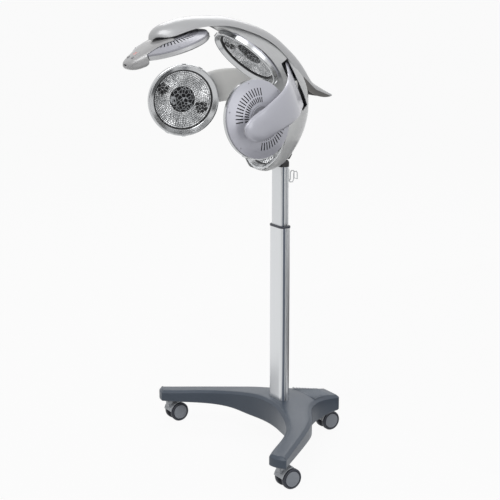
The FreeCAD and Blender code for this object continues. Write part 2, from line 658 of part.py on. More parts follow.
def crest_point(i, s, lift=0.0, shrink=0.0):
    """Point of the crest's section i at s in -1..1, lift under the outside, shrunk from the rim."""
    p, n = station_frame(CREST, i)
    w, drop = CREST[i][2], CREST[i][3]
    depth = lift + (drop - lift) * abs(s) ** CREST_POWER
    return p + n * depth + V((w - shrink) * s, 0, 0)


def crest_section(i):
    spread = (-1, -0.8, -0.5, 0, 0.5, 0.8, 1)
    t = min(CREST_T, CREST[i][3] * 0.45)
    outer = [crest_point(i, s) for s in spread]
    inner = [crest_point(i, s, t, min(CREST_T, CREST[i][2] * 0.3)) for s in reversed(spread)]
    edges = [spline(outer), Part.makeLine(outer[-1], inner[0]), spline(inner), Part.makeLine(inner[-1], outer[0])]
    return Part.Wire(edges)


def liner_section(i, depth_share, inset):
    """Thin closing plate between the crest's two rims."""
    p, n = station_frame(CREST, i)
    w, drop = CREST[i][2] - CREST_T - inset, CREST[i][3]
    level = drop * depth_share
    thick = min(2.2, drop * 0.2)
    outer, inner = [], []
    for s in (-1, -0.5, 0, 0.5, 1):
        bow = level - drop * 0.22 * (1 - s * s)
        outer.append(p + n * bow + V(w * s, 0, 0))
        inner.append(p + n * (bow + thick) + V(w * s, 0, 0))
    inner.reverse()
    return Part.Wire([spline(outer), Part.makeLine(outer[-1], inner[0]), spline(inner),
                      Part.makeLine(inner[-1], outer[0])])


# ================================================================ spine
# Stations down the spine: outer point (y, z), inner point (y, z), half width.
SPINE = ((-292, 1390, -292, 1380, 12), (-245, 1391, -247, 1366, 34), (-190, 1384, -199, 1346, 46),
         (-130, 1368, -150, 1320, 53), (-72, 1341, -103, 1290, 57), (-20, 1306, -64, 1252, 60),
         (28, 1261, -40, 1216, 62), (66, 1212, -28, 1184, 66), (88, 1160, -24, 1156, 72),
         (90, 1113, -26, 1136, 78))
# Stations down the bowl round the rear lamp: place along the lamp's face, back point (y, z).
BOWL = ((84, 85, 1082), (58, 68, 1050), (28, 49, 1022), (0, 32, 1000), (-30, 12, 974),
        (-58, -6, 950), (-84, -27, 930), (-104, -50, 917), (-115, -74, 912))
BOWL_RIM = 4.2        # how far the bowl's rim stands outside the lamp


def d_section(outer, inner, w, back_wall=0.0, side_wall=0.0, front_reach=0.0, power=2.3):
    """Wire with a rounded back and a flat front; walls move it inwards, front_reach pushes the front out."""
    out = unit(outer - inner)
    back = outer - out * back_wall
    front = inner - out * front_reach
    half = max(w - side_wall, 2.0)
    depth = back - front
    count = 12
    pts = []
    for k in range(count + 1):
        a = math.pi * k / count
        cx = math.copysign(abs(math.cos(a)) ** (2 / power), math.cos(a))
        pts.append(front + V(half * cx, 0, 0) + depth * abs(math.sin(a)) ** (2 / power))
    return Part.Wire([spline(pts), Part.makeLine(pts[-1], pts[0])])


def lamp_up(lamp):
    """Direction along a middle lamp's face, upwards, in the YZ plane."""
    n = unit(lamp[1])
    return V(0, abs(n.z), abs(n.y)) if n.y * n.z < 0 else V(0, -abs(n.z), abs(n.y))


def head_stations():
    """(outer point, inner point, half width) down the spine and round the rear lamp."""
    rows = [(V(0, oy, oz), V(0, iy, iz), w) for oy, oz, iy, iz, w in SPINE]
    centre, up = REAR_LAMP[0], lamp_up(REAR_LAMP)
    rim = LAMP_R + BOWL_RIM
    for tau, y, z in BOWL:
        w = math.sqrt(rim * rim - tau * tau)
        rows.append((V(0, y, z), centre + up * tau, w))
    return rows


def head_loft(back_wall=0.0, side_wall=0.0, front_reach=0.0):
    wires = [d_section(o, i, w, back_wall, side_wall, front_reach) for o, i, w in head_stations()]
    return Part.makeLoft(wires, True, False)


def front_plate(gap, thickness):
    """Flat strip that closes the front of the spine, down to the middle of the rear lamp's rim."""
    wires = []
    for o, i, w in head_stations()[1:len(SPINE) + 2]:
        out = unit(o - i)
        half = w - SHELL - gap
        corners = [i + V(-half, 0, 0), i + V(half, 0, 0), i + V(half, 0, 0) + out * thickness,
                   i + V(-half, 0, 0) + out * thickness]
        wires.append(Part.makePolygon(corners + [corners[0]]))
    return Part.makeLoft(wires, True, False)


def disc_space(lamp, radius, front, back):
    """Cylinder round a lamp's axis from front (towards the client) to back."""
    n = unit(lamp[1])
    return cyl(radius, front + back, lamp[0] - n * back, n)


FRAME_PATH = ((-421, 1366), (-376, 1378), (-325, 1384), (-268, 1383), (-210, 1377), (-150, 1363), (-92, 1341),
              (-38, 1307), (10, 1264), (48, 1214), (70, 1162), (73, 1113), (55, 1066), (32, 1030), (6, 1006))
FRAME_T = 6.0
FRAME_FRONT_W = 20.0
FRAME_REAR_W = TILT_NECK_W + 2 * TILT_EAR_T + 2 * PART_GAP
FRAME_WIDE_FROM = 5   # index of the station where the frame takes its full width
FRAME_BACK = 11       # index of the station furthest back


def frame_band(first, last, width, grow=0.0):
    """Bent steel strip of the frame between two of its stations."""
    upper, lower = [], []
    for i in range(first, last + 1):
        p, n = station_frame(FRAME_PATH, i)
        upper.append(p - n * (FRAME_T / 2 + grow))
        lower.append(p + n * (FRAME_T / 2 + grow))
    half = V(width / 2 + grow, 0, 0)
    lower.reverse()
    edges = [spline([q - half for q in upper]), Part.makeLine(upper[-1] - half, lower[0] - half),
             spline([q - half for q in lower]), Part.makeLine(lower[-1] - half, upper[0] - half)]
    return Part.Face(Part.Wire(edges)).extrude(half * 2)


# Middle line of the openings that the arms come out of: y, z at its ends, and reach each side of it.
SLOT_TOP = (-22.0, 1250.0)
SLOT_BOTTOM = (44.0, 1112.0)
SLOT_AHEAD = 15.0
SLOT_BEHIND = 18.0


def slot_cutter(side):
    """Opening in one side of the spine that an arm comes out of."""
    along = unit(V(0, SLOT_BOTTOM[0] - SLOT_TOP[0], SLOT_BOTTOM[1] - SLOT_TOP[1]))
    ahead = V(0, along.z, -along.y)
    a, b = V(0, *SLOT_TOP) - along * 6, V(0, *SLOT_BOTTOM) + along * 6
    pts = [a + ahead * SLOT_AHEAD, b + ahead * SLOT_AHEAD, b - ahead * SLOT_BEHIND, a - ahead * SLOT_BEHIND]
    x0, x1 = (34.0, 110.0) if side > 0 else (-110.0, -34.0)
    return polygon([p + V(x0, 0, 0) for p in pts]).extrude(V(x1 - x0, 0, 0))


def arm_pins():
    start = ARM_PIN_BOTTOM_Z - KNEE_T - PART_GAP
    length = ARM_PIN_TOP_Z - ARM_PIN_BOTTOM_Z + 2 * (KNEE_T + PART_GAP)
    return [cyl(ARM_PIN_R, length, V(s * ARM_PIVOT.x, ARM_PIVOT.y, start)) for s in (1, -1)]


def lamp_pivot_point(lamp):
    return lamp[0] - unit(lamp[1]) * (DOME_DEPTH + HUB_BOSS_H + PIVOT_R + 1)


def build_head():
    outer = head_loft()
    cavity = head_loft(SHELL, SIDE_WALL, 6.0)
    band = fuse([frame_band(0, FRAME_WIDE_FROM, FRAME_FRONT_W, 1.0),
                 frame_band(FRAME_WIDE_FROM, len(FRAME_PATH) - 1, FRAME_REAR_W, 1.0)])
    mast_notch = box(-38, 38, -46, 80, 890, 966)
    neck_notch = box(-TILT_NECK_W / 2 - 2, TILT_NECK_W / 2 + 2, -24, 90, 960, 1012)
    rear_space = disc_space(REAR_LAMP, LAMP_R + PART_GAP, 20, BEZEL_DEPTH + 1)
    shell = outer.cut(cavity).cut(rear_space).cut(mast_notch).cut(neck_notch)
    for side in (1, -1):
        shell = shell.cut(slot_cutter(side))
    shell = shell.cut(frame_band(0, 4, FRAME_FRONT_W, 1.0))
    shell = shell.cut(inlet_block(PART_GAP, INLET_WINDOW_LEN, INLET_LEN))
    export("power_inlet", power_inlet())

    plate = front_plate(0.3, SHELL)
    plate = plate.cut(disc_space(REAR_LAMP, LAMP_R + LATCH_PROUD + PART_GAP, 40, 60))
    top_space = placed(lamp_space(30), lamp_placement(TOP_LAMP))
    plate = plate.cut(top_space).cut(disc_space(TOP_LAMP, PIVOT_R + 10, 0, 90)).cut(shell)

    frame = fuse([frame_band(0, FRAME_WIDE_FROM, FRAME_FRONT_W),
                  frame_band(FRAME_WIDE_FROM, len(FRAME_PATH) - 1, FRAME_REAR_W)])
    ears = []
    for s in (-1, 1):
        x0 = TILT_NECK_W / 2 + PART_GAP if s > 0 else -TILT_NECK_W / 2 - PART_GAP - TILT_EAR_T
        ear = polygon([(x0, TILT_Y - 12, TILT_Z + 6), (x0, TILT_Y + 12, TILT_Z - 9), (x0, 38, 1026), (x0, 60, 1066),
                       (x0, 50, 1072), (x0, 4, 1012)]).extrude(V(TILT_EAR_T, 0, 0))
        ears.append(ear)
        ears.append(cyl(TILT_BOSS_R, TILT_EAR_T, V(x0, TILT_Y, TILT_Z), V(1, 0, 0)))
    posts = []
    for lamp, reach in ((TOP_LAMP, 50.0), (REAR_LAMP, 62.0)):
        n = unit(lamp[1])
        back = lamp[0] - n * (DOME_DEPTH + HUB_BOSS_H + 0.1)
        posts.append(cyl(PIVOT_R, reach, back - n * reach, n))
        posts.append(cyl(PIVOT_R + 9, 4, back - n * 4, n))
    knees = []
    rear = FRAME_PATH[FRAME_BACK][0]
    half = FRAME_REAR_W / 2
    for z in (ARM_PIN_BOTTOM_Z - KNEE_T - PART_GAP, ARM_PIN_TOP_Z + PART_GAP):
        knees.append(box(-half, half, ARM_PIVOT.y - KNEE_R, rear, z, z + KNEE_T))
        tongue = KNEE_R / 2
        knees.append(box(-ARM_PIVOT.x, ARM_PIVOT.x, ARM_PIVOT.y - tongue, ARM_PIVOT.y + tongue, z, z + KNEE_T))
        for s in (1, -1):
            knees.append(cyl(KNEE_R, KNEE_T, V(s * ARM_PIVOT.x, ARM_PIVOT.y, z)))
    frame = fuse([frame] + ears + posts + knees)
    frame = frame.cut(cyl_x(TILT_AXLE_R, 60, TILT_Y, TILT_Z))
    for s in (1, -1):
        frame = frame.cut(cyl(ARM_PIN_R, 160, V(s * ARM_PIVOT.x, ARM_PIVOT.y, 1110)))
    frame = frame.common(head_loft(SHELL + 0.4, SHELL + 0.4, 60).fuse(box(-60, 60, -440, -240, 1340, 1400)))

    # front end of the frame: an eye that carries the front lamp's pivot
    pivot = lamp_pivot_point(FRONT_LAMP)
    fork = []
    for s in (-1, 1):
        x0 = LUG_HALF + PART_GAP if s > 0 else -LUG_HALF - PART_GAP - EAR_T
        fork.append(cyl(LUG_R, EAR_T, V(x0, pivot.y, pivot.z), V(1, 0, 0)))
        fork.append(box(x0, x0 + EAR_T, pivot.y - LUG_R, pivot.y + LUG_R, pivot.z, pivot.z + 17))
    frame = fuse([frame] + fork).cut(cyl_x(LAMP_PIN_R, 30, pivot.y, pivot.z))
    export("spine_frame", frame)
    export("front_lamp_pin", cyl_x(LAMP_PIN_R, LUG_HALF + PART_GAP + EAR_T, pivot.y, pivot.z))
    export("tilt_axle", cyl_x(TILT_AXLE_R, TILT_AXLE_LEN / 2 - 10, TILT_Y, TILT_Z))
    export("arm_pins", group(arm_pins()))

    crest = Part.makeLoft([crest_section(i) for i in range(len(CREST))], True, False)
    export("crest_cover", crest)
    export("spine_rear_shell", shell.cut(top_space))
    export("spine_front_cover", plate)
    front = Part.makeLoft([liner_section(i, 0.86, 0.6) for i in range(2, 6)], True, False)
    front = front.cut(box(-PIVOT_R - 8, PIVOT_R + 8, pivot.y - 12, pivot.y + 12, 1300, 1400))
    tail = Part.makeLoft([liner_section(i, 0.8, 0.6) for i in range(14, len(CREST) - 1)], True, False)
    export("crest_liner", group([front, tail]))


def inlet_block(grow, back, length):
    """Block of the inlet's outside, larger by grow, from back behind its mouth and length deep."""
    half_w, half_h = INLET_W / 2 + grow, INLET_H / 2 + grow
    y = INLET_MOUTH.y + back
    return box(INLET_MOUTH.x - half_w, INLET_MOUTH.x + half_w, y - length - back, y,
               INLET_MOUTH.z - half_h, INLET_MOUTH.z + half_h)


def power_inlet():
    """Appliance inlet with three flat pins in its mouth."""
    inlet = inlet_block(0, 0, INLET_LEN).cut(inlet_block(-INLET_WALL, 1, INLET_MOUTH_DEPTH))
    pins = []
    for dx, dz in INLET_PINS:
        x, z = INLET_MOUTH.x + dx, INLET_MOUTH.z + dz
        y = INLET_MOUTH.y - INLET_MOUTH_DEPTH
        pins.append(box(x - 1, x + 1, y - 1, y + INLET_PIN_LEN, z - 2.5, z + 2.5))
    return fuse([inlet] + pins)


# ================================================================ arms
# Pairs of points on the left arm's upper and lower edge, with the thickness there.
ARM = (((38, -4, 1250), (38, 52, 1116), 11), ((62, -23, 1246), (62, 39, 1113), 14),
       ((112, -49, 1225), (112, 6, 1115), 16), ((170, -88, 1216), (163, -36, 1111), 18),
       ((225, -129, 1206), (215, -77, 1107), 20), ((259, -171, 1186), (250, -121, 1096), 20),
       ((278, -213, 1166), (272, -169, 1082), 21), ((288, -244, 1151), (283, -206, 1071), 22),
       ((291, -271, 1138), (289, -239, 1059), 23), ((295, -296, 1125), (295, -273, 1056), 24),
       ((297, -309, 1114), (297, -297, 1062), 22), ((297, -316, 1105), (297, -311, 1073), 16),
       ((297, -319, 1094), (297, -318, 1084), 6))


def arm_section(i, side):
    """Thin half ring: side is +1 for the half that faces out, -1 for the half towards the lamp."""
    upper, lower, thick = V(*ARM[i][0]), V(*ARM[i][1]), ARM[i][2]
    before, after = max(i - 1, 0), min(i + 1, len(ARM) - 1)
    mid = (upper + lower) * 0.5
    ahead = (V(*ARM[after][0]) + V(*ARM[after][1]) - V(*ARM[before][0]) - V(*ARM[before][1])) * 0.5
    rise = (upper - lower) * 0.5
    out = unit(rise.cross(ahead))
    mid = mid + out * (side * ARM_SEAM / 2)
    half = thick * (ARM_OUTER_SHARE if side > 0 else ARM_INNER_SHARE)
    wall = min(ARM_SKIN, half * 0.55)
    shrink = (rise.Length - min(ARM_SKIN, rise.Length * 0.4)) / rise.Length
    outer, inner = [], []
    count = 8
    for k in range(count + 1):
        a = math.pi * k / count
        up = rise * math.copysign(abs(math.cos(a)) ** 0.9, math.cos(a))
        swell = abs(math.sin(a)) ** 0.75
        outer.append(mid + up + out * (side * half * swell))
        inner.append(mid + up * shrink + out * (side * (half - wall) * swell))
    inner.reverse()
    return Part.Wire([spline(outer), Part.makeLine(outer[-1], inner[0]), spline(inner),
                      Part.makeLine(inner[-1], outer[0])])


def arm_solids():
    """Outer skin and inner casting of the left arm, as it leaves the spine at no swing."""
    outer = Part.makeLoft([arm_section(i, 1) for i in range(len(ARM))], True, False)
    inner = Part.makeLoft([arm_section(i, -1) for i in range(len(ARM))], True, False)

    # hinge eye round the pin in the spine, with a web out to the blade
    z0, z1 = ARM_PIN_BOTTOM_Z, ARM_PIN_TOP_Z
    eye = cyl(ARM_EYE_R, z1 - z0, V(ARM_PIVOT.x, ARM_PIVOT.y, z0))
    bore = cyl(ARM_PIN_R + RUN_FIT, z1 - z0 + 80, V(ARM_PIVOT.x, ARM_PIVOT.y, z0 - 40))
    inner = inner.fuse(eye)
    knee_space = cyl(KNEE_R + PART_GAP, KNEE_T + 2 * PART_GAP, V(ARM_PIVOT.x, ARM_PIVOT.y, z1))
    low_space = cyl(KNEE_R + PART_GAP, KNEE_T + 2 * PART_GAP,
                    V(ARM_PIVOT.x, ARM_PIVOT.y, z0 - KNEE_T - 2 * PART_GAP))
    swing_space = fuse([knee_space, low_space, bore])

    # ears inside the blade hold the pin that the lamp tilts on
    pivot = lamp_pivot_point(SIDE_LAMP)
    axis = lamp_axes(SIDE_LAMP[1]).multVec(V(1, 0, 0))
    n = unit(SIDE_LAMP[1])
    reach = LUG_HALF + PART_GAP + EAR_T
    opening = cyl(LUG_R + 4, 22, pivot - n * 6, n)
    inner = inner.cut(opening)
    ears = []
    for start in (LUG_HALF + PART_GAP, -reach):
        ears.append(cyl(LUG_R, EAR_T, pivot + axis * start, axis))
        foot = Part.makeBox(EAR_T, 2 * LUG_R, 12)
        foot.Placement = FreeCAD.Placement(V(0, 0, 0), lamp_axes(SIDE_LAMP[1]))
        foot.translate(pivot + axis * start - lamp_axes(SIDE_LAMP[1]).multVec(V(0, LUG_R, 12)))
        ears.append(foot)
    pin = cyl(LAMP_PIN_R, 2 * reach, pivot - axis * reach, axis)
    inner = fuse([inner] + ears + [pin]).cut(swing_space)
    return outer.cut(swing_space), inner


def lug():
    """Bored lug on a lamp's hub, in the lamp's frame."""
    top = -DOME_DEPTH - HUB_BOSS_H
    z = top - PIVOT_R - 1
    body = cyl(LUG_R, 2 * LUG_HALF, V(-LUG_HALF, 0, z), V(1, 0, 0))
    foot = box(-LUG_HALF, LUG_HALF, -LUG_R, LUG_R, z, top + 0.5)
    return fuse([body, foot]).cut(cyl(LAMP_PIN_R + RUN_FIT, 2 * LUG_HALF + 2, V(-LUG_HALF - 1, 0, z), V(1, 0, 0)))


def export_lamp(name, solids, placement, mirrored=False):
    for part_name, shape in solids.items():
        shape = shape.copy()
        if mirrored:
            shape = mirror_x(shape)
        export(name + "_" + part_name, placed(shape, placement))


def build_side(side, swing, tilt):
    """Arm and lamp of one side; side is +1 for the left, -1 for the right."""
    name = "left" if side > 0 else "right"
    turn = FreeCAD.Placement(V(0, 0, 0), FreeCAD.Rotation(V(0, 0, 1), side * swing),
                             V(side * ARM_PIVOT.x, ARM_PIVOT.y, 0))
    for part_name, shape in zip(("arm_outer", "arm_inner"), arm_solids()):
        if side < 0:
            shape = mirror_x(shape)
        shape = shape.copy()
        shape.Placement = turn.multiply(shape.Placement)
        export(name + "_" + part_name, shape)
    lamp = (V(side * SIDE_LAMP[0].x, SIDE_LAMP[0].y, SIDE_LAMP[0].z),
            V(side * SIDE_LAMP[1].x, SIDE_LAMP[1].y, SIDE_LAMP[1].z))
    pivot = lamp_pivot_point(lamp)
    axis = lamp_axes(lamp[1]).multVec(V(1, 0, 0)) * side
    nod = FreeCAD.Placement(V(0, 0, 0), FreeCAD.Rotation(axis, -side * tilt), pivot)
    place = turn.multiply(nod).multiply(lamp_placement(lamp))
    solids = lamp_solids()
    solids["housing"] = fuse([solids["housing"], lug()])
    export_lamp(name + "_lamp", solids, place, side < 0)


def build_middle_lamps():
    for name, lamp in (("top", TOP_LAMP), ("rear", REAR_LAMP)):
        export_lamp(name + "_lamp", lamp_solids(), lamp_placement(lamp))


# ================================================================ front lamp and its panel
# Stations along the control panel: y, top z, underside z, half width.
PANEL = ((-542, 1268, 1262, 9), (-538, 1275, 1254, 23), (-526, 1285, 1250, 34), (-508, 1297, 1252, 44),
         (-485, 1312, 1260, 54), (-458, 1327, 1270, 64), (-432, 1337, 1284, 73), (-404, 1341, 1296, 79))


def panel_loft(inset=0.0):
    wires = []
    for y, top, low, w in PANEL:
        mid, half_h, half_w = (top + low) / 2, (top - low) / 2 - inset, w - inset
        half_h, half_w = max(half_h, 1.0), max(half_w, 2.0)
        pts = []
        for k in range(16):
            a = 2 * math.pi * k / 16
            cx = math.copysign(abs(math.cos(a)) ** 0.6, math.cos(a))
            sz = math.copysign(abs(math.sin(a)) ** 0.75, math.sin(a))
            pts.append(V(half_w * cx, y, mid + half_h * sz))
        curve = Part.BSplineCurve()
        curve.interpolate(pts, True)
        wires.append(Part.Wire([curve.toShape()]))
    return Part.makeLoft(wires, True, False)


def panel_slope():
    """Placement on the panel's top, local +Z out of the surface and +Y up the slope."""
    up_slope = unit(V(0, PANEL[4][0] - PANEL[2][0], PANEL[4][1] - PANEL[2][1]))
    normal = V(0, -up_slope.z, up_slope.y)
    x = up_slope.cross(normal)
    m = FreeCAD.Matrix(x.x, up_slope.x, normal.x, 0, x.y, up_slope.y, normal.y, 0,
                       x.z, up_slope.z, normal.z, 0, 0, 0, 0, 1)
    return FreeCAD.Placement(V(0, PANEL[3][0], PANEL[3][1]), FreeCAD.Rotation(m))


def build_front_lamp():
    place = lamp_placement(FRONT_LAMP)
    solids = lamp_solids(FRONT_VENT_ARCS)
    solids["housing"] = fuse([solids["housing"], lug()])
    space = placed(lamp_space(40), place)
    export_lamp("front_lamp", solids, place)

    body = panel_loft()
    hollow = panel_loft(SHELL)
    cover = body.cut(hollow).cut(space)
    slope = panel_slope()
    window = box(-DISPLAY_W / 2, DISPLAY_W / 2, -DISPLAY_L / 2, DISPLAY_L / 2, -DISPLAY_T, 0.2)
    window = window.makeFillet(2.0, [e for e in window.Edges if abs(e.Vertexes[0].Z - e.Vertexes[-1].Z) > 1])
    frame = box(-DISPLAY_W / 2 - 0.2, DISPLAY_W / 2 + 0.2, -DISPLAY_L / 2 - 0.2, DISPLAY_L / 2 + 0.2,
                -DISPLAY_T - 0.2, 5)
    cover = cover.cut(placed(frame, slope))
    export("display_window", placed(window, slope))
    for name, x in (("start_button", -BUTTON_X), ("timer_button", BUTTON_X)):
        at = V(x, BUTTON_Y, 0)
        cap = cyl(BUTTON_R, BUTTON_H + BUTTON_PROUD, at + V(0, 0, -BUTTON_H))
        cap = cap.makeFillet(0.9, [e for e in cap.Edges if abs(e.CenterOfMass.z - BUTTON_PROUD) < 0.01])
        export(name, placed(cap, slope))
        well = cyl(BUTTON_R + BUTTON_GAP, 20, at + V(0, 0, -12))
        cover = cover.cut(placed(well, slope))
    board = box(-26, 26, -24, 22, -BUTTON_H - 5.6, -BUTTON_H - 4.0)
    board = placed(board, slope).common(panel_loft(SHELL + 0.6))
    export("control_board", board.cut(space))
    export("front_panel_cover", cover)


def main():
    build_casters()
    build_base()
    build_mast()
    build_head()
    build_side(1, LEFT_SWING, 0.0)
    build_side(-1, RIGHT_SWING, RIGHT_LAMP_TILT)
    build_middle_lamps()
    build_front_lamp()


main()
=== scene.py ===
import bmesh
import bpy
import json
import math
import random
from mathutils import Euler, Matrix, Vector
from mathutils.geometry import delaunay_2d_cdt


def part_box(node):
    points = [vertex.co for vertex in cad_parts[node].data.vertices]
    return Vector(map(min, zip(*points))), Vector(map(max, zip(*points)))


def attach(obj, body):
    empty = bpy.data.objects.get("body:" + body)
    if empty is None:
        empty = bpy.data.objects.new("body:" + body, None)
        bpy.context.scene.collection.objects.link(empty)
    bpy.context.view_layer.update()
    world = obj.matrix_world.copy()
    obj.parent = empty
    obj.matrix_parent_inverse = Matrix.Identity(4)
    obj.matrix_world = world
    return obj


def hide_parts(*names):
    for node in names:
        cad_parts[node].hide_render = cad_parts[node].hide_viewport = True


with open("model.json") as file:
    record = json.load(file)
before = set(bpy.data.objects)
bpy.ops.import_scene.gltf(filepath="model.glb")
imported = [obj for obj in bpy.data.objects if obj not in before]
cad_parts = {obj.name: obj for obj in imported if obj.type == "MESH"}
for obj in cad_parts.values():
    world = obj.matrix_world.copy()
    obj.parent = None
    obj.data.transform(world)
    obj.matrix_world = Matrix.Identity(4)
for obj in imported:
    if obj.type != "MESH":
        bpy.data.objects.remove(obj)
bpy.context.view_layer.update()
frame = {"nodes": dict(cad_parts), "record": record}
NODES = frame["nodes"]
MM = 0.001

# ---------------------------------------------------------------- values, in metres
LAMPS = ("top", "rear", "front", "left", "right")
LAMP_BODY = {"top": "head", "rear": "head", "front": "front_lamp", "left": "left_lamp", "right": "right_lamp"}
LAMP_R = 117 * MM
BEZEL_WIDTH = 19 * MM
BEZEL_DEPTH = 14 * MM
DISH_EDGE = LAMP_R - BEZEL_WIDTH
DISH_TOP = BEZEL_DEPTH + 0.3 * MM       # below the rim's plane
DISH_SAG = 10.8 * MM
DISH_WALL = 1.0 * MM
EMITTER_R = 41 * MM
PLATE_CROWN = 4.2 * MM                  # of the emitter plate, over the dish
PLATE_FALL = 2.6 * MM
PLATE_R = 0.94 * EMITTER_R              # of its domed part
PLATE_EDGE = ((0.97, 1.2), (0.99, 0.4), (0.99, -2.5), (0, -2.5))    # share of the radius, and mm up
GASKET_RISE = 1.5 * MM
GASKET_SECTION = ((-3.2, -2.0), (-3.2, 0.6), (-2.4, 1.4), (0.4, 1.6), (0.4, -2.0), (-3.2, -2.0))    # mm
DOME_DEPTH = 36 * MM
DOME_RIM = BEZEL_DEPTH + 5 * MM
DOME_EDGE = LAMP_R - 2 * MM
HUB_R = 40 * MM
VENTS_REACH = 96 * MM
HUB_SHADE_RADII = (26 * MM, 36.5 * MM)         # inner and outer radius of the ring of painted shade round the hub
SCREW_COUNT = 6
SCREW_TURN = 15                         # degrees
SCREW_R = 2.3 * MM
SCREW_HEIGHT = 1.4 * MM
SCREW_PROUD = 0.3 * MM
SCREW_INSET = 8 * MM
TILE_SIZE = 5.8 * MM
TILE_GAP = 0.45 * MM
TILE_ROCK = 0.06                        # radians
CELLS_PER_METRE = 84.0                  # of the craze on the emitter plate
PAINTED_PLATE_REFLECTIONS = ((-0.0640, 0.0360, 0.0200), (0.0620, -0.0270, 0.0190))     # x, y and reach on a dish of the two patches with a painted reflection of the plate

TAIL_FROM = 0.060                       # the crest's dark underside, a darker lining with painted shade, starts at this y
TAIL_SEAM = ((0.085, 1.183, 0.79), (0.118, 1.157, 0.37))    # y, height there and fall of its two lines

MAST_W, MAST_D, MAST_CORNER = 75 * MM, 37 * MM, 12 * MM
MAST_SLIP = 0.4 * MM
UPPER_GROOVE_SHADE = (0.0300, -0.0135, -0.0055)    # painted shade of a groove down each side: beyond this x, between these ys
LOWER_GROOVE_SHADE = (0.0360, -0.0155, -0.0045)
COLLAR_RING = ((-2.2, -7.2), (1.1, -7.2), (1.6, -6.4), (1.7, -3.2), (1.2, -1.0), (0.0, -0.2), (-2.4, 0.0),
               (-4.0, -0.6), (-4.0, -3.6), (-2.2, -4.0))    # out of the tube's face and down from its top, mm

BASE_TOP = ((0, 0.146), (0.062, 0.145), (0.130, 0.138), (0.215, 0.127), (0.330, 0.120), (0.480, 0.113))
BASE_UNDER = ((0, 0.066), (0.105, 0.066), (0.190, 0.074), (0.300, 0.078), (0.480, 0.0795))
BASE_CHAMFER = ((0, 8.6), (0.5, 7.6), (1.5, 6.8), (8.0, 1.6), (9.6, 0.5), (11.5, 0))  # inset and drop, mm
BASE_ROOF = 9 * MM
BASE_WALL = 5 * MM
FOOT_IN, FOOT_UP = 2 * MM, 3 * MM       # of the eased lower rim
EDGE_PITCH = 4 * MM
FILL_PITCH = 11 * MM
RIB_COUNT = 9
RIB_PITCH = 9.6 * MM
RIB_START = 100 * MM
RIB_WIDTH = 5.8 * MM
RIB_HEIGHT = 1.3 * MM
RIB_SUNK = 0.2 * MM
RIB_INSET = 11 * MM
RIB_LOOK = 5 * MM                       # edge points this near to a rib set its length

COVER_PROFILE = ((0.745, -0.5), (0.745, 0.3), (0.73, 0.6), (0.70, 0.62), (0.69, 0.4), (0.67, 0.45),
                 (0.3, 0.8), (0, 0.85))     # share of the wheel's radius, and mm out of its face
COVER_STEPS = 48

NUMERALS = "25"
NUMERAL_W, NUMERAL_H, NUMERAL_PITCH = 5.0 * MM, 9.0 * MM, 8.2 * MM
BAR_WIDTH, BAR_THICK, BAR_GAP = 1.25 * MM, 0.12 * MM, 0.35 * MM
WINDOW_RISE = 1.1 * MM                  # from the window's middle to its face

CAMERA_AT = Vector((3.522, -2.3205, 1.638))
CAMERA_AZIMUTH = math.radians(56.62)
CAMERA_DOWN = math.radians(13.25)
CAMERA_PAN = math.radians(1.31)
CAMERA_LENS = 96.9
WORLD_LIT, WORLD_SEEN = 0.34, 0.985     # strength for light that falls on things, and as seen
FLOOR_GREY, FLOOR_SEEN = 0.55, 0.94
FLOOR_HALF = 30
LIT_POINT = Vector((0, 0, 0.9))
STUDIO_LAMPS = {"key": ((1.4, -2.2, 4.6), 2.4, 84), "fill": ((3.8, 0.6, 2.4), 2.6, 32),
                "back": ((-2.8, 1.6, 3.8), 2.6, 46)}        # place, size and watts
# Black flags that only polished surfaces mirror: beside the camera, and low on the floor behind the stand.
STUDIO_FLAGS = {
    "flag_beside_camera": ((1.2, -5.2, -0.4), (5.6, -4.6, -0.4), (5.6, -4.6, 2.0), (1.2, -5.2, 2.0)),
    "flag_on_floor": ((-1.5, 0.4, 0.002), (2.5, 0.4, 0.002), (2.5, 2.8, 0.002), (-1.5, 2.8, 0.002)),
}


# ================================================================ shader maths
class Sock:
    """A shader socket that takes part in Python expressions."""

    def __init__(self, net, socket):
        self.net, self.socket = net, socket

    def _math(self, operation, *values):
        return self.net.node("ShaderNodeMath", {"operation": operation}, *values)

    def __add__(self, other):
        return self._math("ADD", self, other)

    def __radd__(self, other):
        return self._math("ADD", other, self)

    def __sub__(self, other):
        return self._math("SUBTRACT", self, other)

    def __rsub__(self, other):
        return self._math("SUBTRACT", other, self)

    def __mul__(self, other):
        return self._math("MULTIPLY", self, other)

    def __rmul__(self, other):
        return self._math("MULTIPLY", other, self)

    def __gt__(self, other):
        return self._math("GREATER_THAN", self, other)

    def __lt__(self, other):
        return self._math("LESS_THAN", self, other)

    def higher(self, other):
        return self._math("MAXIMUM", self, other)

    def clamp(self):
        return self._math("MINIMUM", self.higher(0.0), 1.0)


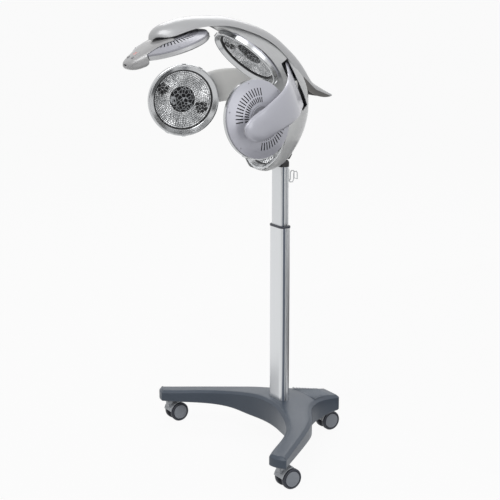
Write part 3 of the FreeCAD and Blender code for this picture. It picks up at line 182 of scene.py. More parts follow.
class Net:
    """Node tree of one material or world, with one method that adds any node."""

    def __init__(self, name, kind="materials"):
        self.owner = getattr(bpy.data, kind).new(name)
        self.owner.use_nodes = True
        self.tree = self.owner.node_tree
        self.shader = self.tree.nodes["Principled BSDF" if kind == "materials" else "Background"]

    def put(self, socket, value):
        if isinstance(value, Sock):
            self.tree.links.new(value.socket, socket)
        elif hasattr(socket.default_value, "__len__"):
            size = len(socket.default_value)
            socket.default_value = (tuple(value) + (1.0,))[:size]
        else:
            socket.default_value = value

    def node(self, kind, settings=None, *values, out=0, **named):
        """Add a node: its settings, then its sockets in order or by name; gives back one of its outputs."""
        made = self.tree.nodes.new(kind)
        for key, value in (settings or {}).items():
            setattr(made, key, value)
        for i, value in enumerate(values):
            self.put(made.inputs[i], value)
        for key, value in named.items():
            self.put(made.inputs[key.replace("_", " ").title()], value)
        return Sock(self, made.outputs[out])

    def vector(self, operation, *values, out=0, **named):
        return self.node("ShaderNodeVectorMath", {"operation": operation}, *values, out=out, **named)

    def place(self, uv=False):
        return self.node("ShaderNodeTexCoord", out=2 if uv else 3)

    def parts(self, vector):
        split = self.node("ShaderNodeSeparateXYZ", None, vector).socket.node
        return [Sock(self, output) for output in split.outputs]

    def noise(self, vector, scale, detail=2.0):
        return self.node("ShaderNodeTexNoise", None, vector=vector, scale=scale, detail=detail)

    def mix(self, factor, a, b):
        made = self.tree.nodes.new("ShaderNodeMix")
        made.data_type = "RGBA"
        for i, value in ((0, factor), (6, a), (7, b)):
            self.put(made.inputs[i], value)
        return Sock(self, made.outputs[2])

    def bump(self, height, strength, distance):
        normal = self.node("ShaderNodeBump", None, strength=strength, distance=distance, height=height)
        self.put(self.shader.inputs["Normal"], normal)

    def finish(self, color, roughness, metallic=0.0, coat=0.0, coat_roughness=0.1, specular=0.5):
        for name, value in (("Base Color", color), ("Roughness", roughness), ("Metallic", metallic),
                            ("Coat Weight", coat), ("Coat Roughness", coat_roughness),
                            ("Specular IOR Level", specular)):
            self.put(self.shader.inputs[name], value)
        return self.owner


def shade(color, share):
    return tuple(c * share for c in color)


# ================================================================ materials
def lacquer_layers(net, at, color, flake):
    """Colour of a smooth lacquer with its mottling and metal flake, the two noises, and its orange peel."""
    cloud = net.noise(at, 9.0, 3.0)
    grain = net.noise(at, 900.0, 1.0)
    base = net.mix(cloud, shade(color, 0.965), shade(color, 1.03))
    net.bump(net.noise(at, 260.0, 1.0), 0.05, 0.0004)
    return net.mix(grain * flake, base, shade(color, 1.25)), cloud, grain


def lacquer(name, color, roughness, coat, flake=0.0):
    """Smooth painted or moulded plastic, with optional fine metal flake."""
    net = Net(name)
    base, cloud, grain = lacquer_layers(net, net.place(), color, flake)
    return net.finish(base, roughness + (cloud - 0.5) * 0.1 + (grain - 0.5) * 0.05, flake * 0.5, coat, 0.12)


def grained_plastic(name, color, roughness, grain_scale=700.0, grain=0.25):
    """Moulded plastic with a fine spark-eroded grain and a little wear in its colour."""
    net = Net(name)
    at = net.place()
    fine = net.noise(at, grain_scale, 2.0)
    base = net.mix(net.noise(at, 6.0, 4.0), shade(color, 0.9), shade(color, 1.1))
    base = net.mix(fine * 0.25, base, shade(color, 1.35))
    net.bump(fine, grain, 0.0003)
    return net.finish(base, roughness + (fine - 0.5) * 0.16)


def brushed_metal(name, color, along, roughness, streak=0.12, groove_shade=None):
    """Metal with fine lines along one direction, and optional painted shade of a groove: a dark band down
    both sides beyond an x.
    """
    net = Net(name)
    at = net.place()
    lines = net.noise(net.node("ShaderNodeMapping", None, at, scale=along), 1.0, 3.0)
    cloud = net.noise(at, 5.0, 2.0)
    base = net.mix(lines, shade(color, 1 - streak), shade(color, 1 + streak * 0.5))
    base = net.mix(cloud * 0.3, base, shade(color, 0.94))
    net.bump(lines, 0.08, 0.0002)
    dark = 0.0
    if groove_shade:
        x, y, _ = net.parts(at)
        beyond, low, high = groove_shade
        dark = (x.higher(0 - x) > beyond) * (y > low) * (y < high)
        # painted shade of a groove: a dark blue-grey band, not metal, down both sides
        base = net.mix(dark, base, (0.13, 0.155, 0.20))
    return net.finish(base, roughness + (lines - 0.5) * 0.14, 1 - dark)


def plated(name, color, roughness):
    """Bright plating with faint haze."""
    net = Net(name)
    at = net.place()
    haze = net.noise(at, 30.0, 3.0)
    net.bump(net.noise(at, 60.0, 1.0), 0.04, 0.0006)
    return net.finish(net.mix(haze, shade(color, 0.95), color), roughness + haze * 0.05, 1.0)


def crazing(net, flat):
    """Mask of the thin pale lines between the plate's irregular cells."""
    wobble = net.node("ShaderNodeTexNoise", None, vector=flat, scale=60.0, out=1)
    moved = net.vector("ADD", flat, net.vector("SCALE", wobble, scale=0.004))
    edge = net.node("ShaderNodeTexVoronoi", {"feature": "DISTANCE_TO_EDGE"}, vector=moved,
                    scale=CELLS_PER_METRE)
    return 1 - ((edge - 0.034) * 34.0).clamp()


def black_ceramic(name):
    """Black plate crossed by an irregular pale craze, on the piece's own flat coordinates."""
    net = Net(name)
    line = crazing(net, net.place(uv=True))
    net.bump(1 - line, 0.4, 0.0004)
    dust = net.noise(net.place(), 300.0, 2.0)
    black = net.mix(dust, (0.008, 0.008, 0.009), (0.016, 0.016, 0.018))
    return net.finish(net.mix(line, black, (0.52, 0.54, 0.56)), 0.5 - line * 0.1, specular=0.2)


def tyre_rubber(name):
    """Navy rubber of the casters' treads."""
    net = Net(name)
    fine = net.noise(net.place(), 500.0, 2.0)
    net.bump(fine, 0.15, 0.0003)
    return net.finish(net.mix(fine, (0.020, 0.023, 0.034), (0.034, 0.039, 0.055)), 0.45 + fine * 0.1)


def mosaic_mirror(name):
    """Facets of differing tone, with a painted reflection of the plate's black and its craze in two patches
    beside it.
    """
    net = Net(name)
    cell = net.node("ShaderNodeAttribute", {"attribute_name": "cell"}, out=1)
    tone = net.node("ShaderNodeTexWhiteNoise", {"noise_dimensions": "3D"}, vector=cell)
    sweep = net.noise(cell, 26.0, 2.0)
    frayed = net.noise(cell, 240.0, 1.0)
    flat_cell = net.vector("MULTIPLY", cell, (1, 1, 0))
    reflection_patches = 0.0
    for x, y, reach in PAINTED_PLATE_REFLECTIONS:
        away = net.vector("DISTANCE", flat_cell, (x, y, 0), out=1)
        reflection_patches = (away + frayed * 0.010 < reach + 0.005) + reflection_patches
    # painted reflection: the plate's black and craze, with no metal, on the facets in the patches
    dark = reflection_patches * (1 - crazing(net, net.place(uv=True)))
    dull = net.mix(tone, (0.40, 0.41, 0.42), (0.62, 0.63, 0.64))
    bright = net.mix(((sweep - 0.5) * 5.0 + 0.5).clamp(), dull, (0.86, 0.87, 0.88))
    return net.finish(net.mix(dark, bright, (0.012, 0.012, 0.014)), 0.16 + tone * 0.12, 1 - dark)


def vented_lacquer(name, color, place):
    """Lacquer of a lamp's back: painted shade, near black, on the slot walls and inside, and painted shade of
    a recess in a ring round the hub.
    """
    net = Net(name)
    at = net.place()
    facing = net.node("ShaderNodeTexCoord", out=1)
    axis = place.to_3x3() @ Vector((0, 0, 1))
    reach = net.vector("SUBTRACT", at, tuple(place.translation))
    away = net.vector("LENGTH", net.vector("CROSS_PRODUCT", reach, tuple(axis)), out=1)
    outward = net.vector("DOT_PRODUCT", facing, tuple(-axis), out=1)
    # painted shade: faces near the vents that don't look out of the back are painted near black
    painted_slot_shade = (outward < 0.35) * (away < VENTS_REACH)
    # painted shade of a recess, in a ring round the hub
    painted_well_shade = ((away - HUB_SHADE_RADII[0]) * 400.0).clamp() * (1 - ((away - HUB_SHADE_RADII[1]) * 700.0).clamp())
    base, cloud, _ = lacquer_layers(net, at, color, 0.3)
    base = net.mix(painted_well_shade * 0.62, base, shade(color, 0.22))
    base = net.mix(painted_slot_shade, base, (0.012, 0.012, 0.014))
    return net.finish(base, 0.32 + (cloud - 0.5) * 0.1 + painted_slot_shade * 0.3, (1 - painted_slot_shade) * 0.15, 0.3, 0.12)


def crest_lacquer(name, color):
    """Silver lacquer on the crest, over a dark bronze-grey underside on the sides of its tail: partly a
    darker lining, partly painted shade under the tail.
    """
    net = Net(name)
    at = net.place()
    _, y, z = net.parts(at)
    first, second = (height - (y - start) * fall for start, height, fall in TAIL_SEAM)
    below = first.higher(second) - z
    # tail underside: a darker lining with painted shade, darkest along its upper line
    dark = (below * 500.0).clamp() * (y > TAIL_FROM)
    silver, cloud, _ = lacquer_layers(net, at, color, 0.35)
    bronze_and_shade = net.mix((below * 32.0).clamp(), (0.038, 0.036, 0.034), (0.115, 0.108, 0.10))
    roughness = 0.33 + (cloud - 0.5) * 0.1 + dark * 0.12
    return net.finish(net.mix(dark, silver, bronze_and_shade), roughness, (1 - dark) * 0.17, 0.3, 0.12)


def glowing(name, color, strength):
    """Lit bars of the display."""
    net = Net(name)
    soft = net.noise(net.place(), 800.0)
    net.put(net.shader.inputs["Emission Color"], net.mix(soft, shade(color, 0.85), color))
    net.put(net.shader.inputs["Emission Strength"], strength)
    return net.finish(shade(color, 0.8), 0.4)


LAMP_GREY = (0.50, 0.505, 0.565)
# painted shade: the front lamp's back takes a darker copy of the lamp grey, to hold down the light falling on
# it from above
FRONT_LAMP_PAINTED_SHADE = 0.76
UPRIGHT_LINES = (900.0, 900.0, 3.0)
MATERIALS = {
    "shell_white": lacquer("pearl_white_moulding", (0.62, 0.628, 0.632), 0.28, 0.5),
    "shell_silver": crest_lacquer("crest_lacquer", (0.42, 0.425, 0.435)),
    "lamp_back": lacquer("lilac_grey_lacquer", LAMP_GREY, 0.32, 0.35, 0.3),
    "crest_dark": grained_plastic("dark_liner", (0.075, 0.068, 0.066), 0.55),
    "chrome_trim": plated("bright_chrome", (0.56, 0.57, 0.58), 0.17),
    "reflector_silver": grained_plastic("blackened_dish_back", (0.02, 0.02, 0.022), 0.5),
    "emitter_black": black_ceramic("crazed_black_ceramic"),
    "mast_anodised": brushed_metal("anodised_upper", (0.69, 0.705, 0.72), UPRIGHT_LINES, 0.34, 0.1,
                                   UPPER_GROOVE_SHADE),
    "mast_lower": brushed_metal("anodised_lower", (0.74, 0.755, 0.77), UPRIGHT_LINES, 0.34, 0.1, LOWER_GROOVE_SHADE),
    "collar_dark": grained_plastic("slate_nylon", (0.045, 0.052, 0.07), 0.4),
    "cap_black": grained_plastic("black_nylon", (0.016, 0.016, 0.018), 0.38),
    "bracket_black": grained_plastic("black_powder_coat", (0.018, 0.018, 0.02), 0.42, 450.0, 0.4),
    "base_slate": grained_plastic("slate_base", (0.054, 0.072, 0.100), 0.37, 620.0, 0.3),
    "frame_steel": grained_plastic("black_frame_paint", (0.03, 0.03, 0.033), 0.45),
    "ballast_iron": grained_plastic("grey_iron", (0.11, 0.11, 0.11), 0.6, 300.0, 0.5),
    "steel_bright": brushed_metal("ground_steel", (0.6, 0.6, 0.61), (60.0, 900.0, 900.0), 0.25),
    "caster_fork_grey": lacquer("fork_silver_grey", (0.42, 0.44, 0.47), 0.35, 0.2, 0.2),
    "caster_wheel": tyre_rubber("navy_tread"),
    "panel_silver": lacquer("panel_satin_silver", (0.39, 0.39, 0.395), 0.32, 0.3, 0.3),
    "display_smoke": lacquer("silvered_window", (0.36, 0.345, 0.345), 0.16, 0.6, 0.1),
    "button_dark": grained_plastic("soft_button", (0.31, 0.31, 0.32), 0.5),
    "board_green": grained_plastic("board_green", (0.02, 0.12, 0.05), 0.4),
    "inlet_black": grained_plastic("inlet_black", (0.02, 0.02, 0.02), 0.4),
    "slider_nylon": grained_plastic("natural_nylon", (0.7, 0.7, 0.67), 0.5),
}
MIRROR_FACETS = mosaic_mirror("mosaic_mirror")
SCREW_STEEL = brushed_metal("dark_screw_steel", (0.2, 0.2, 0.21), (300.0, 300.0, 300.0), 0.35)
WHEEL_COVER = lacquer("pale_wheel_cover", (0.27, 0.29, 0.325), 0.35, 0.1)
LED_RED = glowing("red_led", (0.80, 0.16, 0.14), 0.5)
# painted light: the ribs take a lighter copy of the base's slate, against the shade on their sides
RIB_SLATE_PAINTED_LIGHT = grained_plastic("slate_ribs", (0.115, 0.140, 0.176), 0.4, 620.0, 0.15)
# painted light: the arms' inner faces take a lighter copy of the white moulding, against the shade they fall
# in
ARM_INNER_PAINTED_LIGHT = lacquer("pale_arm_lining", (0.84, 0.84, 0.82), 0.3, 0.3)
SATIN_TRIM = brushed_metal("satin_trim", (0.5, 0.505, 0.515), (220.0, 220.0, 220.0), 0.36, 0.06)
CAST_GREY = grained_plastic("cast_grey_paint", (0.075, 0.078, 0.082), 0.5, 300.0, 0.3)
FINISH_OF = {"left_arm_inner": ARM_INNER_PAINTED_LIGHT, "right_arm_inner": ARM_INNER_PAINTED_LIGHT, "front_lamp_bezel": SATIN_TRIM,
             "spine_frame": CAST_GREY}


def dress_nodes():
    """Give every carried-over node its own finish, or its slot's."""
    for name in LAMPS:
        color = shade(LAMP_GREY, FRONT_LAMP_PAINTED_SHADE if name == "front" else 1.0)
        FINISH_OF[name + "_lamp_housing"] = vented_lacquer(name + "_lamp_back", color, lamp_matrix(name))
    for part in frame["record"]["subparts"]:
        materials = NODES[part["node"]].data.materials
        materials.clear()
        materials.append(FINISH_OF.get(part["node"]) or MATERIALS[part["material_slot"]])


# ================================================================ mesh helpers
def piece(name, mesh, body, slot, material, *replaced):
    """Finished piece that rides on a body."""
    made = bpy.data.objects.new(name, mesh)
    bpy.context.scene.collection.objects.link(made)
    mesh.materials.clear()
    mesh.materials.append(material)
    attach(made, body)
    if replaced:
        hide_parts(*replaced)
    return made


def mesh_from(name, vertices, faces, smooth=True):
    mesh = bpy.data.meshes.new(name)
    mesh.from_pydata([tuple(v) for v in vertices], [], faces)
    mesh.update()
    if smooth:
        mesh.shade_smooth()
    return mesh


def mesh_of(name, bm, crease=None):
    """Mesh with what a bmesh holds, flat, or smooth but for edges sharper than an angle in degrees."""
    mesh = bpy.data.meshes.new(name)
    bm.to_mesh(mesh)
    bm.free()
    if crease:
        mesh.shade_smooth()
        mesh.set_sharp_from_angle(angle=math.radians(crease))
    return mesh


def skin(bm, rings):
    """Faces from each ring of vertices to the next."""
    for low, high in zip(rings, rings[1:]):
        for k in range(len(low)):
            n = (k + 1) % len(low)
            bm.faces.new((low[k], low[n], high[n], high[k]))


def circle(bm, radii, height):
    """Ring of new vertices at these radii, at even angles."""
    angles = [2 * math.pi * k / len(radii) for k in range(len(radii))]
    return [bm.verts.new((r * math.cos(a), r * math.sin(a), height)) for r, a in zip(radii, angles)]


def lathe(profile, steps=96):
    """Vertices and faces of (radius, height) points turned about Z; a radius of 0 closes a pole."""
    vertices, faces, rings = [], [], []
    for r, z in profile:
        start = len(vertices)
        count = 1 if r < 1e-7 else steps
        rings.append(list(range(start, start + count)))
        for k in range(count):
            a = 2 * math.pi * k / steps
            vertices.append(Vector((r * math.cos(a), r * math.sin(a), z)))
    for low, high in zip(rings, rings[1:]):
        for k in range(steps):
            n = (k + 1) % steps
            if len(low) == 1:
                faces.append((low[0], high[n], high[k]))
            elif len(high) == 1:
                faces.append((low[k], low[n], high[0]))
            else:
                faces.append((low[k], low[n], high[n], high[k]))
    return vertices, faces


def turned_inside(faces):
    """The faces of a profile that runs down its outside, turned to look outwards."""
    return [tuple(reversed(face)) for face in faces]


# ================================================================ lamps
def thinnest_direction(points, middle, guess, rounds=60):
    """Direction in which the points spread least about their middle, found from a guess and on its side."""
    spread = Matrix(((0, 0, 0), (0, 0, 0), (0, 0, 0)))
    for p in points:
        d = p - middle
        for i in range(3):
            for j in range(3):
                spread[i][j] += d[i] * d[j]
    inverse = spread.inverted()
    axis = guess.normalized()
    for _ in range(rounds):
        axis = (inverse @ axis).normalized()
    return axis if axis.dot(guess) > 0 else -axis


def lamp_matrix(name):
    """Place of a lamp, from its bezel: +Z the way it shines, origin in the middle of the rim's plane."""
    points = [v.co.copy() for v in NODES[name + "_lamp_bezel"].data.vertices]
    backs = [v.co for v in NODES[name + "_lamp_housing"].data.vertices]
    middle = sum(points, Vector()) / len(points)
    behind = sum(backs, Vector()) / len(backs)
    axis = thinnest_direction(points, middle, middle - behind)
    x = Vector((0, 0, 1)).cross(axis).normalized()
    y = axis.cross(x)
    turn = Matrix((x, y, axis)).transposed()
    local = [turn.transposed() @ p for p in points]
    centre = Vector([(min(p[i] for p in local) + max(p[i] for p in local)) / 2 for i in range(3)])
    centre.z = max(p.z for p in local)
    return Matrix.Translation(turn @ centre) @ turn.to_4x4()


def with_flat_uv(mesh):
    """Store each corner's local x, y as its UV, before the mesh is placed."""
    layer = mesh.uv_layers.new(name="flat")
    for loop in mesh.loops:
        co = mesh.vertices[loop.vertex_index].co
        layer.data[loop.index].uv = (co.x, co.y)


def dish_height(r):
    """Height of the reflector at radius r, which is below the rim's plane."""
    t = min(max((DISH_EDGE - r) / (DISH_EDGE - EMITTER_R), 0), 1)
    return -DISH_TOP - DISH_SAG * (1 - (1 - t) ** 2)


def pattern_tree():
    """Geometry Nodes tree that sets a shape on every point, turned and sized by the point, then rocked."""
    tree = bpy.data.node_groups.new("set_out_shapes", "GeometryNodeTree")
    tree.is_modifier = True
    for label, way, kind in (("Geometry", "INPUT", "Geometry"), ("Shape", "INPUT", "Object"),
                             ("Finish", "INPUT", "Material"), ("Rock", "INPUT", "Float"),
                             ("Seed", "INPUT", "Int"), ("Geometry", "OUTPUT", "Geometry")):
        tree.interface.new_socket(label, in_out=way, socket_type="NodeSocket" + kind)
    source = tree.nodes.new("NodeGroupInput").outputs
    sink = tree.nodes.new("NodeGroupOutput").inputs

    def add(kind, settings, *links):
        made = tree.nodes.new(kind)
        for key, value in settings.items():
            setattr(made, key, value)
        for name, value in links:
            if hasattr(value, "links"):
                tree.links.new(value, made.inputs[name])
            else:
                made.inputs[name].default_value = value
        return made.outputs

    def scaled(corner):
        return add("ShaderNodeVectorMath", {"operation": "SCALE"}, (0, corner), ("Scale", source["Rock"]))[0]

    shape = add("GeometryNodeObjectInfo", {}, ("Object", source["Shape"]))
    turn = add("GeometryNodeInputNamedAttribute", {"data_type": "FLOAT_VECTOR"}, ("Name", "turn"))
    size = add("GeometryNodeInputNamedAttribute", {"data_type": "FLOAT_VECTOR"}, ("Name", "stretch"))
    angle = add("FunctionNodeEulerToRotation", {}, (0, turn["Attribute"]))
    rock = add("FunctionNodeRandomValue", {"data_type": "FLOAT_VECTOR"}, ("Min", scaled((-1, -1, 0))),
               ("Max", scaled((1, 1, 0))), ("Seed", source["Seed"]))
    laid = add("GeometryNodeInstanceOnPoints", {}, ("Points", source["Geometry"]),
               ("Instance", shape["Geometry"]), ("Rotation", angle[0]), ("Scale", size["Attribute"]))
    rocked = add("GeometryNodeRotateInstances", {}, ("Instances", laid[0]), ("Rotation", rock[0]))
    solid = add("GeometryNodeRealizeInstances", {}, (0, rocked[0]))
    finish = add("GeometryNodeSetMaterial", {}, ("Geometry", solid[0]), ("Material", source["Finish"]))
    tree.links.new(finish[0], sink[0])
    return tree


PATTERN = pattern_tree()


def set_out(shape_mesh, rows, material, rock=0.0, seed=1):
    """Plain mesh of one shape at every row of (place, turn, size); each copy keeps its place as its cell."""
    points = bpy.data.meshes.new("set_out_points")
    points.from_pydata([tuple(row[0]) for row in rows], [], [])
    for label, column in (("turn", 1), ("stretch", 2), ("cell", 0)):
        attribute = points.attributes.new(label, "FLOAT_VECTOR", "POINT")
        for i, row in enumerate(rows):
            attribute.data[i].vector = tuple(row[column])
    shape = bpy.data.objects.new("set_out_shape", shape_mesh)
    holder = bpy.data.objects.new("set_out_holder", points)
    for made in (shape, holder):
        bpy.context.scene.collection.objects.link(made)
    modifier = holder.modifiers.new("pattern", "NODES")
    modifier.node_group = PATTERN
    values = {"Shape": shape, "Finish": material, "Rock": rock, "Seed": seed}
    for item in PATTERN.interface.items_tree:
        if item.in_out == "INPUT" and item.name in values:
            modifier[item.identifier] = values[item.name]
    graph = bpy.context.evaluated_depsgraph_get()
    mesh = bpy.data.meshes.new_from_object(holder.evaluated_get(graph))
    for made in (holder, shape):
        bpy.data.objects.remove(made)
    return mesh


def facet_shape():
    """Small pillow with four sloping quarters, one unit across, its peak a little off its middle."""
    corners = ((-1, -1), (1, -1), (1, 1), (-1, 1))
    vertices = [(x * reach, y * reach, z) for reach, z in ((0.5, 0), (0.4, 0.09)) for x, y in corners]
    vertices.append((0.06, -0.04, 0.15))
    faces = [(3, 2, 1, 0)]
    for k in range(4):
        n = (k + 1) % 4
        faces += [(k, n, 4 + n, 4 + k), (4 + k, 4 + n, 8)]
    return mesh_from("facet", vertices, faces, smooth=False)


def facet_rows():
    """Where the facets of one dish sit: rings in brick fashion, each lying on the dish."""
    rows = []
    rng = random.Random(5)
    r = EMITTER_R + TILE_SIZE * 0.6
    ring = 0
    while r < DISH_EDGE - TILE_SIZE * 0.55:
        count = int(2 * math.pi * r / TILE_SIZE)
        pitch = 2 * math.pi * r / count
        slope = math.atan2(dish_height(r + MM) - dish_height(r - MM), 2 * MM)
        for k in range(count):
            a = 2 * math.pi * (k + 0.5 * (ring % 2) + rng.uniform(-0.1, 0.1)) / count
            turn = Matrix.Rotation(a + rng.uniform(-0.2, 0.2), 3, "Z") @ Matrix.Rotation(-slope, 3, "Y")
            at = Vector((r * math.cos(a), r * math.sin(a), dish_height(r)))
            rows.append((at, turn.to_euler(), (TILE_SIZE - TILE_GAP, pitch - TILE_GAP, TILE_SIZE)))
        r += TILE_SIZE
        ring += 1
    return rows


def mirror_mesh(place, seed):
    mesh = set_out(facet_shape(), facet_rows(), MIRROR_FACETS, TILE_ROCK, seed)
    with_flat_uv(mesh)
    mesh.transform(place)
    return mesh


def dish_mesh(name, place):
    """Backing of the dish: a thin turned shell."""
    steps = 12
    inner = EMITTER_R + 0.5 * MM
    radii = [DISH_EDGE - (DISH_EDGE - inner) * i / steps for i in range(steps + 1)]
    front = [(r, dish_height(r)) for r in radii]
    back = [(r, z - DISH_WALL) for r, z in reversed(front)]
    mesh = mesh_from(name, *lathe(front + back + front[:1]))
    mesh.transform(place)
    return mesh


def emitter_mesh(name, place):
    """Domed black plate with a rolled edge, in the middle of the dish."""
    base = dish_height(EMITTER_R)
    steps = 8
    crown = [(PLATE_R * i / steps, base + PLATE_CROWN - PLATE_FALL * (i / steps) ** 2)
             for i in range(steps + 1)]
    edge = [(EMITTER_R * share, base + rise * MM) for share, rise in PLATE_EDGE]
    vertices, faces = lathe(crown + edge)
    mesh = mesh_from(name, vertices, turned_inside(faces))
    with_flat_uv(mesh)
    mesh.transform(place)
    return mesh


def dome_height(r):
    """Height of the outside of a lamp's back at radius r."""
    t = min(max((r - HUB_R) / (DOME_EDGE - HUB_R), 0), 1)
    return -DOME_DEPTH + (DOME_DEPTH - DOME_RIM) * t ** 1.9


def screw_head():
    """Pan head with a cross recess, one unit in radius, its underside at zero."""
    steps = 16
    bm = bmesh.new()
    rings = [circle(bm, [r] * steps, z) for r, z in ((1.0, 0.0), (1.0, 0.22), (0.86, 0.45), (0.5, 0.6))]
    bm.faces.new(list(reversed(rings[0])))
    cross = circle(bm, [0.16 if k % 4 else 0.42 for k in range(steps)], 0.6)
    skin(bm, rings + [cross])
    sunk = bmesh.ops.extrude_discrete_faces(bm, faces=[bm.faces.new(cross)])["faces"]
    bmesh.ops.translate(bm, verts=list(sunk[0].verts), vec=(0, 0, -0.3))
    return mesh_of("screw_head", bm)


def rim_screws(place):
    """Screws through the rim of a lamp's back."""
    rows = []
    r = LAMP_R - SCREW_INSET
    for i in range(SCREW_COUNT):
        a = math.radians(360 / SCREW_COUNT * i + SCREW_TURN)
        at = Vector((r * math.cos(a), r * math.sin(a), dome_height(r) - SCREW_PROUD))
        rows.append((at, Euler((math.pi, 0, a)), (SCREW_R, SCREW_R, SCREW_HEIGHT)))
    mesh = set_out(screw_head(), rows, SCREW_STEEL)
    mesh.transform(place)
    return mesh


def gasket_mesh(name, place):
    """Black ring between the bezel and the facets."""
    low = GASKET_RISE - BEZEL_DEPTH
    vertices, faces = lathe([(DISH_EDGE + out * MM, low + rise * MM) for out, rise in GASKET_SECTION])
    mesh = mesh_from(name, vertices, turned_inside(faces))
    mesh.transform(place)
    return mesh


def build_lamps():
    for seed, name in enumerate(LAMPS, 3):
        place, body = lamp_matrix(name), LAMP_BODY[name]
        dish, plate, gasket = name + "_dish", name + "_emitter_plate", name + "_gasket"
        piece(dish, dish_mesh(dish, place), body, "reflector_silver", MATERIALS["reflector_silver"],
              name + "_lamp_reflector")
        piece(name + "_facets", mirror_mesh(place, seed), body, "reflector_silver", MIRROR_FACETS)
        piece(plate, emitter_mesh(plate, place), body, "emitter_black", MATERIALS["emitter_black"],
              name + "_lamp_emitter")
        piece(gasket, gasket_mesh(gasket, place), body, "cap_black", MATERIALS["cap_black"])
        piece(name + "_rim_screws", rim_screws(place), body, "steel_bright", SCREW_STEEL)


# ================================================================ base cover
def upper_edges():
    """Plan of the loops along the tops of the base solid's walls: where a steep face meets a level one."""
    bm = bmesh.new()
    bm.from_mesh(NODES["base_cover"].data)
    bmesh.ops.remove_doubles(bm, verts=bm.verts, dist=1e-6)
    linked = {}
    for edge in bm.edges:
        if len(edge.link_faces) != 2:
            continue
        tilt = sorted(face.normal.z for face in edge.link_faces)
        if abs(tilt[0]) < 0.3 and tilt[1] > 0.8:
            a, b = edge.verts
            linked.setdefault(a.index, []).append(b.index)
            linked.setdefault(b.index, []).append(a.index)
    bm.verts.ensure_lookup_table()
    spots = {i: Vector(bm.verts[i].co.xy) for i in linked}
    bm.free()
    loops, left = [], set(linked)
    while left:
        start = left.pop()
        loop, last, here = [start], None, start
        while True:
            onward = [i for i in linked[here] if i != last and (i in left or i == start)]
            if not onward or onward[0] == start:
                break
            last, here = here, onward[0]
            left.discard(here)
            loop.append(here)
        loops.append([spots[i] for i in loop])
    return loops


def base_edge():
    """Upper edge of the base's side wall as one even closed loop in plan, anticlockwise."""
    loop = max(upper_edges(), key=lambda way: sum((a - b).length for a, b in zip(way, way[1:])))
    if sum(a.x * b.y - b.x * a.y for a, b in zip(loop, loop[1:] + loop[:1])) < 0:
        loop.reverse()
    return even_loop(loop, EDGE_PITCH)


def even_loop(loop, pitch):
    """The closed loop again, with points at even steps."""
    ends = list(zip(loop, loop[1:] + loop[:1]))
    total = sum((b - a).length for a, b in ends)
    count = int(total / pitch)
    points, walked, target = [], 0.0, 0.0
    for a, b in ends:
        length = (b - a).length
        while target < walked + length and len(points) < count:
            points.append(a.lerp(b, (target - walked) / length))
            target += total / count
        walked += length
    return points


def drawn_in(loop, inset):
    """The loop moved inwards, with corners eased."""
    moved = []
    for i, p in enumerate(loop):
        along = loop[(i + 1) % len(loop)] - loop[i - 1]
        moved.append(p + Vector((-along.y, along.x)).normalized() * inset)
    return moved


def along_profile(profile, r):
    """Height on a smooth line through (radius, height) points."""
    i = next((i for i, point in enumerate(profile[1:]) if r <= point[0]), len(profile) - 2)
    before, a, b = profile[max(i - 1, 0)], profile[i], profile[i + 1]
    after = profile[min(i + 2, len(profile) - 1)]
    t = (r - a[0]) / (b[0] - a[0])
    rise_a = (b[1] - before[1]) / (b[0] - before[0]) * (b[0] - a[0])
    rise_b = (after[1] - a[1]) / (after[0] - a[0]) * (b[0] - a[0])
    return ((2 * t ** 3 - 3 * t * t + 1) * a[1] + (t ** 3 - 2 * t * t + t) * rise_a
            + (3 * t * t - 2 * t ** 3) * b[1] + (t ** 3 - t * t) * rise_b)


def top_height(p):
    return along_profile(BASE_TOP, p.length)


def under_height(p):
    return along_profile(BASE_UNDER, p.length)


def inside(p, loop):
    hit = False
    for a, b in zip(loop, loop[1:] + loop[:1]):
        if (a.y > p.y) != (b.y > p.y) and p.x < (b.x - a.x) * (p.y - a.y) / (b.y - a.y) + a.x:
            hit = not hit
    return hit


def steps_between(low, high, pitch):
    """Values from low, one pitch apart, up to high."""
    values = []
    while low < high:
        values.append(low)
        low += pitch
    return values


def filled(ring, hole, pitch):
    """Plan triangles that fill a ring around a hole, with even points between."""
    xs, ys = [p.x for p in ring], [p.y for p in ring]
    grid = [Vector((x, y)) for x in steps_between(min(xs), max(xs), pitch)
            for y in steps_between(min(ys), max(ys), pitch)]

    def near(p, way, gap):
        return min((p - q).length for q in way) < gap

    between = [p for p in grid if inside(p, ring) and not inside(p, hole) and not near(p, ring, pitch * 0.6)
               and not near(p, hole, pitch * 0.4)]
    count, gap = len(ring), len(hole)
    edges = [(i, (i + 1) % count) for i in range(count)]
    edges += [(count + i, count + (i + 1) % gap) for i in range(gap)]
    made = delaunay_2d_cdt(list(ring) + list(hole) + between, edges, [], 1, 1e-7)
    flat = made[0]
    faces = []
    for face in made[2]:
        middle = sum((flat[i] for i in face), Vector((0, 0))) / len(face)
        if inside(middle, ring) and not inside(middle, hole):
            faces.append(tuple(face))
    return flat, faces


def rounded_loop(w, d, corner):
    """Rounded rectangle of half width w and half depth d."""
    points = []
    for cx, cy, start in ((1, 1, 0), (-1, 1, 90), (-1, -1, 180), (1, -1, 270)):
        for k in range(7):
            a = math.radians(start + 15 * k)
            points.append(Vector((cx * (w - corner) + corner * math.cos(a),
                                  cy * (d - corner) + corner * math.sin(a))))
    return points


